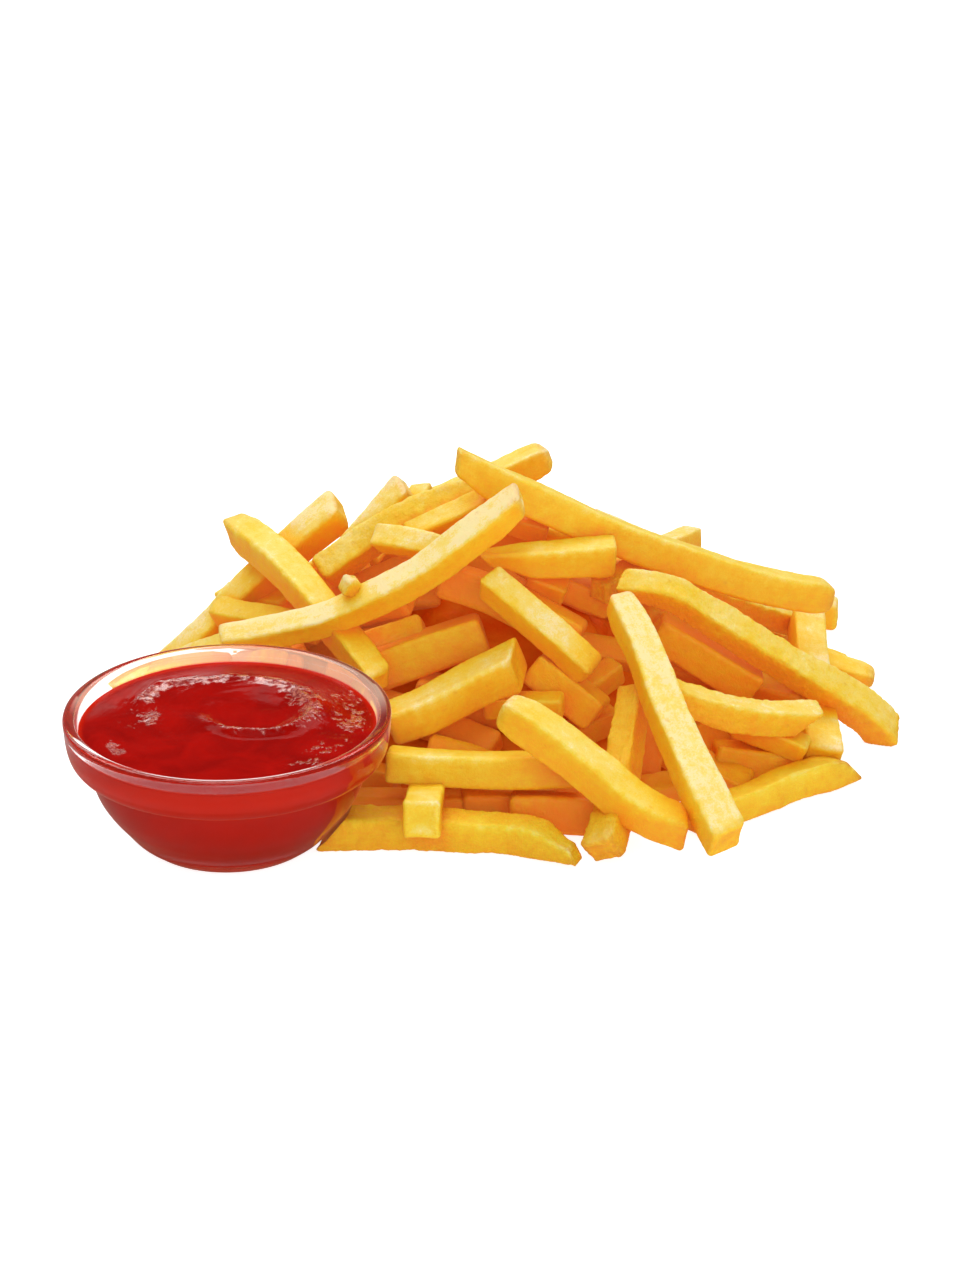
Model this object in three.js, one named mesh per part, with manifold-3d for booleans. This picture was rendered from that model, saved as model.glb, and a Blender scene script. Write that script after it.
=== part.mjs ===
// A portion of french fries piled up beside, and leaning on, a small clear bowl of ketchup.
// Millimetres, +Z up. The pile and the bowl stand on the plane Z = 0.
// The pile is one solid: a rounded heap with the outer fries standing proud of it.
import * as THREE from "three";
import { mergeVertices } from "three/addons/utils/BufferGeometryUtils.js";
import Module from "manifold-3d";

// ---- driving dimensions ----
const GAP = 0.4; // between pieces that touch

// heap of fries: a rounded cone, a little longer than it is deep
const HEAP_X = 4, HEAP_Y = 8; // its axis
const HEAP_HEIGHT = 82; // to the middle of the topmost layer of fries
const HEAP_LEFT = 112, HEAP_RIGHT = 116, HEAP_FRONT = 88, HEAP_BACK = 80; // half widths
const HEAP_POWER = 1.25; // 1 is a cone, 2 a paraboloid
const CORE_LEVEL = 0.86; // the heap proper, below the outer fries
const CORE_RINGS = 6, CORE_SIDES = 28;
const BENT = 1.6; // a fry that bows more than this is made of BENT_STEPS straight stretches
const BENT_STEPS = 3;

// bowl
const BOWL_X = -69.8, BOWL_Y = -69.2;
const RIM_R = 45, BOWL_H = 38.4, FOOT_R = 22, BAND_Z = 25.3, BODY_R = 38.4, WALL = 3.2;
const BOWL_SIDES = 40;

// ketchup
const KETCHUP_Z = 32.2; // level at the glass
const KETCHUP_MOUND = 0.5; // how much higher the middle lies
const RIDGE = 1.2, CRATER = 2.6; // height of the spiral ridge, depth of the hollow inside it
const SWIRL_X = 8.4, SWIRL_Y = 1.3; // middle of the hollow, from the bowl's axis
const KETCHUP_RINGS = 10, KETCHUP_SIDES = 36;

// ---- fries ----
// Each row is one fry: both ends of its centre line, its thickness, how far it is rolled
// from level in degrees, and how far its middle bows up and sideways.
const SHOWN_FRIES = [
  [-113.4, 16.6, 3.3, -80.9, 29.4, 3.4, 7, 19, 0, 0],
  [38.2, 6.3, 47.6, 64.2, 42.3, 44, 7, -5, -0.1, -0.1],
  [88.1, 41.3, 12, 111.7, 43.7, -0.6, 6.2, 16, -0.3, 0.4],
  [90.8, 36.1, 10.3, 117.7, 30.4, 2.2, 7.7, 14, -0.6, 0.5],
  [-15.4, 33, 57.3, 20.3, 46.9, 69.1, 8.8, 0, -0.2, -0.2],
  [-22.8, 15.5, 57.2, -16.5, 32.8, 62.5, 7, -18, -0.1, 0],
  [-45.3, 11.8, 42.4, -22.2, 22.5, 68.3, 8, 24, 0.1, -0.1],
  [-77.9, 43.7, 23.6, -56, 11.4, 34.5, 7, 24, -0.1, -0.1],
  [53.2, 11.1, 43, 93.4, 36.9, 17.9, 7.1, 15, -0.1, -0.2],
  [6.8, 4.4, 65.6, 19.3, 3.8, 62.4, 7, 23, 0, 0],
  [33.7, -9.6, 48.2, 50.7, 11, 49.5, 7, 7, 0, 0],
  [98.2, 33.4, 20.8, 98, -34, 5.5, 9.3, -14, -1.2, -0.5],
  [-96.1, 21.5, 11, -42.9, 29.1, 60.1, 8.8, 25, 1.3, 1.1],
  [-46.7, 6.2, 47.1, -1, 11.1, 71, 8.6, 40, 1.3, -2.6],
  [-21.4, 2.9, 59.9, 3.6, 3.6, 72.2, 7, 24, 0, 0],
  [-99.2, 15.7, 10.4, -74.2, 0.4, 26.5, 7, 37, 0, 0],
  [-79, 18.1, 30.3, -47.1, -5.5, 34.3, 7, 30, -0.1, -0.1],
  [8, -65.7, 5.5, 34.3, -67.6, 5.5, 10.8, -16, 0.1, -0.3],
  [43.6, -55.3, 6.5, 60.4, -49, 6.5, 7, 16, 0, 0],
  [72.8, -31.5, 17.1, 93.1, -36, 9.7, 7, 7, 0, 0],
  [-30.6, 0.9, 61, -7.3, -14.5, 61.6, 7, 45, 0.2, -0.9],
  [0.7, -36.4, 25.1, 23.4, -39.8, 26.1, 7, 3, 0, 0],
  [-44.9, -75.5, 5.2, 25.2, -86.4, 4.6, 9.6, 0, 0, -6.2],
  [58.3, -67.5, 3.9, 105, -33.2, 4.8, 8.5, -8, 0.1, -0.9],
  [-7.3, -2.6, 85.5, 103.7, 13.1, 36.7, 9.9, -9, -4.7, 0.7],
  [52.7, -44, 32.1, 93.3, -32.5, 18.8, 8.1, 6, -1.9, 0.9],
  [-72.9, 29.4, 51, -28.8, -37.1, 32, 8.9, 6, 2.6, -1.2],
  [-26.5, -45.9, 23, 10.6, -36.3, 37.6, 10.9, 3, -0.2, 0.1],
  [1.6, -15.6, 60.2, 38.5, -7, 58.7, 8.8, 3, -0.2, 0.1],
  [1.9, -23.1, 57.8, 31.4, -34.3, 34.2, 8.4, 26, 0.1, -0.2],
  [-26.7, -61, 18.2, 27, -63.5, 17.5, 9.2, -12, -0.7, 0.2],
  [43.4, -37.3, 29.9, 33.1, -88.5, 4.8, 8.5, 24, -1.6, 0],
  [-75, -14.8, 35.3, 11.2, -20.4, 82.2, 8.2, 28, -5.4, 6],
  [39.7, -18, 53.8, 118.6, -6.4, 3.7, 9.1, 35, 1.6, -2.8],
  [7, -67.1, 36.6, 56.4, -82.1, 8.9, 9.9, 7, -0.9, 0.6],
  [38.3, -25.6, 53.3, 66, -90.9, 10.3, 9.8, 2, -0.1, -0.2],
  [-15.6, -65.9, 9.3, -16.6, -87.4, 13.8, 10.3, 1, 0, 0]
];
const BACK_FRIES = [
  [-38.7, 37.1, 40.9, -79.4, 54.7, 6.5, 8.2, -2, 0, 0],
  [-27.7, 37, 47.9, 24.6, 55.4, 45.6, 9.2, -6, 0.7, -0.2],
  [-42.1, 82.6, 5.1, 26.5, 60.9, 32.6, 10.4, -22, 0.2, 0],
  [-7.6, 86.9, 5.1, 50.8, 55.8, 29.7, 10.1, -12, 0.3, 0],
  [92.1, 65.8, 5, 42.9, 41.8, 40.5, 9.9, 3, 2, 0.2],
  [-22, 53.9, 38.8, -54.7, 79.5, 5.1, 10.1, 35, 0.8, -0.3],
  [10.9, 85.3, 5, 64.1, 64.6, 13.2, 8.1, -47, 0.4, 0.2],
  [-67.8, 67.2, 4.4, -31.6, 43.2, 39.6, 8.5, 17, 0.7, -0.3],
  [-32.1, 74.6, 18.6, 36.9, 48.6, 41, 8.1, -13, 0.3, 0],
  [31.9, 32, 52.1, 81.9, 42.8, 22.9, 8.5, 15, 0.5, -0.3],
  [-43.3, 69.4, 4.4, -9.5, 48.5, 35.2, 8.5, -21, 1.8, 0.2],
  [87.8, 53.1, 4.2, 40.5, 53, 22.1, 8.3, 5, 0, 0],
  [-52.1, -29.3, 24.8, -88.7, -9.9, 4.8, 9.2, -51, -0.1, -0.1],
  [-91, 39.8, 4.8, -34.6, 24.4, 42.2, 9.3, -23, 1.3, 0.4],
  [13.2, 64.1, 16.4, -26.7, 85, 4.2, 8.2, 18, 1.8, 0],
  [-78.3, 24.8, 14.6, -58.2, -16.1, 31.3, 9.2, 46, 1.1, -0.6],
  [-81.6, 46.1, 4.6, -48.6, 26.9, 20.3, 9, 2, 2, -0.2],
  [-24, -49.2, 5.6, -86.4, -23, 5.4, 8.8, 8, -0.2, 0.1]
];

const wasm = await Module();
wasm.setup();

function solid(geometry) {
  const g = geometry.clone();
  g.deleteAttribute("normal");
  if (g.getAttribute("uv")) g.deleteAttribute("uv");
  const m = mergeVertices(g, 1e-4);
  return new wasm.Manifold(
    new wasm.Mesh({
      numProp: 3,
      vertProperties: new Float32Array(m.attributes.position.array),
      triVerts: new Uint32Array(m.index.array),
    }),
  );
}

function geometryOf(s) {
  const m = s.getMesh(), n = m.numProp;
  const v = new Float32Array(m.numVert * 3);
  for (let i = 0; i < m.numVert; i++) v.set(m.vertProperties.subarray(i * n, i * n + 3), i * 3);
  const g = new THREE.BufferGeometry();
  g.setAttribute("position", new THREE.BufferAttribute(v, 3));
  g.setIndex(new THREE.BufferAttribute(new Uint32Array(m.triVerts), 1));
  g.computeVertexNormals();
  return g;
}

// A lathe about Z of closed [radius, height] points listed with the outside first.
function lathe(points, sides) {
  const g = new THREE.LatheGeometry(points.map(([r, z]) => new THREE.Vector2(r, z)), sides);
  g.rotateX(Math.PI / 2);
  return g;
}

function facingOut(g) {
  const s = solid(g);
  if (s.volume() > 0) return s;
  const flipped = g.clone(), i = flipped.index;
  for (let k = 0; k < i.count; k += 3) {
    const a = i.getX(k + 1);
    i.setX(k + 1, i.getX(k + 2));
    i.setX(k + 2, a);
  }
  return solid(flipped);
}

// ---- the heap ----
// Moves a unit circle's points out to the heap's four half widths.
function spread(g, level) {
  const p = g.attributes.position;
  for (let i = 0; i < p.count; i++) {
    const x = p.getX(i), y = p.getY(i);
    p.setXYZ(
      i,
      HEAP_X + x * (x < 0 ? HEAP_LEFT : HEAP_RIGHT),
      HEAP_Y + y * (y < 0 ? HEAP_FRONT : HEAP_BACK),
      p.getZ(i),
    );
  }
  return g;
}

function heapCore(level) {
  const points = [[0, 0]];
  for (let k = 0; k <= CORE_RINGS; k++) {
    const h = (level * k) / CORE_RINGS;
    points.push([k === CORE_RINGS ? 0 : Math.pow(level - h, 1 / HEAP_POWER), h * HEAP_HEIGHT]);
  }
  return facingOut(spread(lathe(points, CORE_SIDES)));
}

// One fry: a long box whose middle bows away from the straight line between its ends.
function fryFrame([x0, y0, z0, x1, y1, z1, thick, roll]) {
  const a = new THREE.Vector3(x0, y0, z0), b = new THREE.Vector3(x1, y1, z1);
  const along = b.clone().sub(a), length = along.length();
  along.normalize();
  const up = new THREE.Vector3(0, 0, 1).addScaledVector(along, -along.z).normalize();
  const top = up.applyAxisAngle(along, THREE.MathUtils.degToRad(roll));
  const side = new THREE.Vector3().crossVectors(along, top);
  return { a, along, length, top, side, thick };
}

function fry(row) {
  const { a, along, length, top, side, thick } = fryFrame(row);
  const [bowTop, bowSide] = row.slice(8);
  const steps = Math.hypot(bowTop, bowSide) > BENT ? BENT_STEPS : 1;
  const g = new THREE.BoxGeometry(1, 1, 1, steps, 1, 1), p = g.attributes.position;
  const v = new THREE.Vector3();
  for (let i = 0; i < p.count; i++) {
    const t = p.getX(i) + 0.5, bow = 4 * t * (1 - t);
    v.copy(a)
      .addScaledVector(along, t * length)
      .addScaledVector(top, bow * bowTop + p.getZ(i) * thick)
      .addScaledVector(side, bow * bowSide - p.getY(i) * thick);
    p.setXYZ(i, v.x, v.y, v.z);
  }
  return facingOut(g);
}

// What a fry that bridges a hollow lies on: a narrower block from it in to the heap.
function support(row) {
  const { a, along, length, thick } = fryFrame(row);
  const middle = a.clone().addScaledVector(along, length / 2);
  const foot = new THREE.Vector3(
    HEAP_X + 0.55 * (middle.x - HEAP_X),
    HEAP_Y + 0.55 * (middle.y - HEAP_Y),
    Math.max(4, 0.55 * middle.z),
  );
  const down = foot.clone().sub(middle), reach = down.length();
  const g = new THREE.BoxGeometry(0.7 * thick, length * 0.5, reach);
  const z = down.normalize();
  const y = along.clone().addScaledVector(z, -along.dot(z)).normalize();
  const x = new THREE.Vector3().crossVectors(y, z);
  g.applyMatrix4(
    new THREE.Matrix4().makeBasis(x, y, z).setPosition(middle.clone().add(foot).multiplyScalar(0.5)),
  );
  return facingOut(g);
}

// ---- bowl ----
// Outer side from the foot up: foot, rounded body, step under the band, band, rim.
const OUTER = [
  [FOOT_R - 4.5, 1.2], [FOOT_R - 3.2, 0], [FOOT_R, 0], [FOOT_R + 1.4, 0.9], [26.9, 3],
  [30.7, 7.2], [34.1, 11.6], [36.6, 16], [37.9, 20], [BODY_R, 24], [39, BAND_Z],
  [41.6, BAND_Z + 0.6], [43.5, BAND_Z + 2.4], [44.4, BAND_Z + 5.2], [RIM_R - 0.2, 36.4],
];
const RIM = [[RIM_R, 37.3], [RIM_R - 0.7, BOWL_H - 0.2], [RIM_R - 1.7, BOWL_H], [RIM_R - 2.8, BOWL_H - 0.4]];
// Inner side from the rim down to the middle of the floor.
const INNER = [
  [RIM_R - WALL - 0.1, 37], [RIM_R - WALL - 0.6, 33], [40.4, 29.6], [38.4, 27.2],
  [35.6, 24.8], [34.4, 21], [33, 17.2], [30.4, 13.2], [26.4, 9.8], [20.4, 7], [11, 5.5],
];
const bowlSolid = facingOut(
  lathe([[0, 1.2], ...OUTER, ...RIM, ...INNER, [0, 5.2]], BOWL_SIDES).translate(BOWL_X, BOWL_Y, 0),
);
// The room that the bowl takes, with a little air round it.
const bowlRoom = facingOut(
  lathe(
    [[0, -5], ...[...OUTER.slice(2), RIM[0]].map(([r, z], k) => [r + 0.6, k ? z : -5]),
      [RIM_R + 0.6, BOWL_H + 0.6], [0, BOWL_H + 0.6]],
    BOWL_SIDES,
  ).translate(BOWL_X, BOWL_Y, 0),
);

// ---- ketchup ----
// Radius of the spiral ridge about the hollow, by direction in degrees.
const SPIRAL = [[-180, 15], [-90, 14], [0, 18], [35, 20.6], [79, 25], [104, 31], [126, 34.5], [180, 37]];
function spiralRadius(deg) {
  for (let i = 1; i < SPIRAL.length; i++) {
    const [d0, r0] = SPIRAL[i - 1], [d1, r1] = SPIRAL[i];
    if (deg <= d1) return r0 + ((r1 - r0) * (deg - d0)) / (d1 - d0);
  }
  return SPIRAL[SPIRAL.length - 1][1];
}
function ketchupTop(x, y, edge) {
  const dx = x - SWIRL_X, dy = y - SWIRL_Y;
  const rho = Math.hypot(dx, dy), deg = THREE.MathUtils.radToDeg(Math.atan2(dy, dx));
  const fade = 1 - edge ** 6;
  const off = rho - spiralRadius(deg);
  const ridge = RIDGE * Math.exp(-((off / (off < 0 ? 2.4 : 4.6)) ** 2));
  const inner = Math.max(0, Math.min(1, (deg + 200) / 120));
  return (
    KETCHUP_Z + KETCHUP_MOUND * (1 - edge * edge) +
    fade * (ridge * (deg > 150 ? (180 - deg) / 30 : inner) - CRATER * Math.exp(-((rho / 10.5) ** 2)))
  );
}
function ketchupSolid() {
  const wall = INNER.filter(([, z]) => z < KETCHUP_Z - 1.5).map(([r, z]) => [r - GAP, z + GAP * 0.7]);
  const edgeR = 40.4 + ((40.9 - 40.4) * (KETCHUP_Z - 29.6)) / 3.4 - GAP;
  const points = [[0, 5.2 + GAP], ...wall.reverse()];
  for (let k = 0; k <= KETCHUP_RINGS; k++) points.push([edgeR * (1 - k / KETCHUP_RINGS), KETCHUP_Z]);
  const g = lathe(points, KETCHUP_SIDES), p = g.attributes.position;
  for (let i = 0; i < p.count; i++) {
    if (Math.abs(p.getZ(i) - KETCHUP_Z) > 1e-4) continue;
    const x = p.getX(i), y = p.getY(i);
    p.setZ(i, ketchupTop(x, y, Math.hypot(x, y) / edgeR));
  }
  return facingOut(g.translate(BOWL_X, BOWL_Y, 0));
}

// ---- join the heap ----
const core = heapCore(CORE_LEVEL);
let heap = core;
for (const row of [...SHOWN_FRIES, ...BACK_FRIES]) {
  const bar = fry(row);
  if (bar.intersect(core).volume() < 60) heap = heap.add(support(row));
  heap = heap.add(bar);
}
const below = new THREE.BoxGeometry(400, 400, 40).translate(0, 0, -20);
heap = heap.subtract(facingOut(below)).subtract(bowlRoom);
heap = heap.decompose().sort((a, b) => b.volume() - a.volume())[0];

// ---- the part ----
const group = new THREE.Group();
function piece(name, s, color, roughness, extra = {}) {
  const mesh = new THREE.Mesh(
    geometryOf(s),
    new THREE.MeshStandardMaterial({ color, roughness, metalness: 0, ...extra }),
  );
  mesh.name = name;
  group.add(mesh);
  return mesh;
}
piece("fries_heap", heap, 0xf0b945, 0.55);
piece("glass_bowl", bowlSolid, 0xdfe8e8, 0.05, { transparent: true, opacity: 0.35 });
piece("ketchup", ketchupSolid(), 0xa3160b, 0.2);

// The origin is the middle of the part's footprint, on the surface it stands on.
const box = new THREE.Box3().setFromObject(group, true);
const middle = box.getCenter(new THREE.Vector3());
for (const mesh of group.children) mesh.position.set(-middle.x, -middle.y, -box.min.z);

export default group;
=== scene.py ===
"""A portion of thick-cut french fries, piled up loosely beside a small clear glass bowl of ketchup.

The fries are modelled one by one over a small core, the bowl and the ketchup are turned at full
detail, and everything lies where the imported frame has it.
"""
import math

import bpy
import numpy as np
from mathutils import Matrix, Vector
from mathutils.bvhtree import BVHTree


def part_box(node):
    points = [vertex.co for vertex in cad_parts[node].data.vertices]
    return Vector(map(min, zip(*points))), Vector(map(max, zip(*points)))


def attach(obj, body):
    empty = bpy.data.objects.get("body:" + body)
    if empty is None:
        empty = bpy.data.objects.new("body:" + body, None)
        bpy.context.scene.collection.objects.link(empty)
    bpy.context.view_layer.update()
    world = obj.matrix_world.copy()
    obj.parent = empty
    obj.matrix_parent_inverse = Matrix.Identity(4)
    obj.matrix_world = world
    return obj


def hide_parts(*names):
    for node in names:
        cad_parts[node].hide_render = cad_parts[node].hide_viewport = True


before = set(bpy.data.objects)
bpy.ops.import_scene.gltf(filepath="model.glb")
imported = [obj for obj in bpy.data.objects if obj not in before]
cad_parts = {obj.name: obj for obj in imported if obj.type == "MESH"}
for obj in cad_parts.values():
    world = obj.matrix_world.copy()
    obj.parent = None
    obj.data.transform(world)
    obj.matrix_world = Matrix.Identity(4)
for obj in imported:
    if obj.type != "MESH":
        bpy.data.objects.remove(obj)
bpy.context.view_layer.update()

# ------------------------------------------------------------------ placing
# All shapes below are written in millimetres about the spot that the camera looks at.
# BOWL is the bowl's axis there, so the bowl's own box gives the way to the frame.
BOWL = np.array([-69.8, -69.2])
lo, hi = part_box("glass_bowl")
SHIFT = np.array([(lo.x + hi.x) / 2 * 1000 - BOWL[0], (lo.y + hi.y) / 2 * 1000 - BOWL[1], lo.z * 1000])


def to_frame(P):
    return (np.asarray(P, float) + SHIFT) / 1000.0


# ------------------------------------------------------------------ helpers
_rng = np.random.RandomState(7)
PERM = _rng.permutation(256)
PERM = np.r_[PERM, PERM, PERM]
GRADS = _rng.normal(size=(256, 3))
GRADS /= np.linalg.norm(GRADS, axis=1)[:, None]


def noise(P, seed=0.0):
    """Smooth gradient noise, about -1 to 1, for points of any shape (..., 3)."""
    P = np.asarray(P, float) + seed * 13.37 + 200.0
    cell = np.floor(P).astype(int)
    f = P - cell
    u = f * f * f * (f * (f * 6 - 15) + 10)
    cell &= 255
    out = 0.0
    for dx in (0, 1):
        wx = u[..., 0] if dx else 1 - u[..., 0]
        for dy in (0, 1):
            wy = u[..., 1] if dy else 1 - u[..., 1]
            for dz in (0, 1):
                wz = u[..., 2] if dz else 1 - u[..., 2]
                h = PERM[PERM[PERM[(cell[..., 0] + dx) & 255] + ((cell[..., 1] + dy) & 255)] + ((cell[..., 2] + dz) & 255)]
                g = GRADS[h]
                d = g[..., 0] * (f[..., 0] - dx) + g[..., 1] * (f[..., 1] - dy) + g[..., 2] * (f[..., 2] - dz)
                out = out + wx * wy * wz * d
    return out * 1.6


def smooth01(x):
    x = np.clip(x, 0, 1)
    return x * x * (3 - 2 * x)


def unit(v):
    return v / np.maximum(np.linalg.norm(v, axis=-1, keepdims=True), 1e-12)


def spline(points):
    """A smooth curve through the points, as functions of length along it."""
    P = np.asarray(points, float)
    d = np.r_[0, np.cumsum(np.linalg.norm(np.diff(P, axis=0), axis=1))]
    m = np.zeros_like(P)
    if len(P) == 2:
        m[:] = (P[1] - P[0]) / d[1]
    else:
        seg = np.diff(P, axis=0) / np.diff(d)[:, None]
        h = np.diff(d)
        m[1:-1] = (seg[:-1] * h[1:, None] + seg[1:] * h[:-1, None]) / (h[:-1] + h[1:])[:, None]
        m[0] = 1.5 * seg[0] - 0.5 * m[1]
        m[-1] = 1.5 * seg[-1] - 0.5 * m[-2]
    L = d[-1]

    def at(s):
        s = np.asarray(s, float)
        c = np.clip(s, 0, L)
        k = np.clip(np.searchsorted(d, c, side="right") - 1, 0, len(P) - 2)
        h = (d[k + 1] - d[k])[..., None]
        t = ((c - d[k])[..., None]) / h
        p = ((2 * t**3 - 3 * t**2 + 1) * P[k] + (t**3 - 2 * t**2 + t) * h * m[k]
             + (-2 * t**3 + 3 * t**2) * P[k + 1] + (t**3 - t**2) * h * m[k + 1])
        v = ((6 * t**2 - 6 * t) * P[k] / h + (3 * t**2 - 4 * t + 1) * m[k]
             + (-6 * t**2 + 6 * t) * P[k + 1] / h + (3 * t**2 - 2 * t) * m[k + 1])
        v = unit(v)
        return p + (s - c)[..., None] * v, v

    return at, L


def mesh_object(name, verts_mm, faces, attributes=None, smooth=True):
    """A mesh object at the origin, from points in millimetres and a list of face index arrays."""
    me = bpy.data.meshes.new(name)
    co = to_frame(verts_mm).astype(np.float32)
    loops = np.concatenate([np.asarray(f, np.int32).ravel() for f in faces])
    sizes = np.concatenate([np.full(len(f), np.asarray(f).shape[1], np.int32) for f in faces])
    starts = np.r_[0, np.cumsum(sizes)[:-1]].astype(np.int32)
    me.vertices.add(len(co))
    me.vertices.foreach_set("co", co.ravel())
    me.loops.add(len(loops))
    me.loops.foreach_set("vertex_index", loops)
    me.polygons.add(len(sizes))
    me.polygons.foreach_set("loop_start", starts)
    me.update(calc_edges=True)
    me.validate()
    me.polygons.foreach_set("use_smooth", np.full(len(me.polygons), smooth))
    for key, (kind, values) in (attributes or {}).items():
        a = me.attributes.new(key, kind, "POINT")
        a.data.foreach_set("value" if kind == "FLOAT" else "vector", np.asarray(values, np.float32).ravel())
    ob = bpy.data.objects.new(name, me)
    bpy.context.scene.collection.objects.link(ob)
    return ob


# ------------------------------------------------------------------ the fries
# Fries at the foot of the heap that are more lemon than golden, and how much so.
LEMON = {"F26": 0.5, "F31": 0.3, "F24": 0.3, "F25": 0.3, "F19": 0.1}

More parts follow.
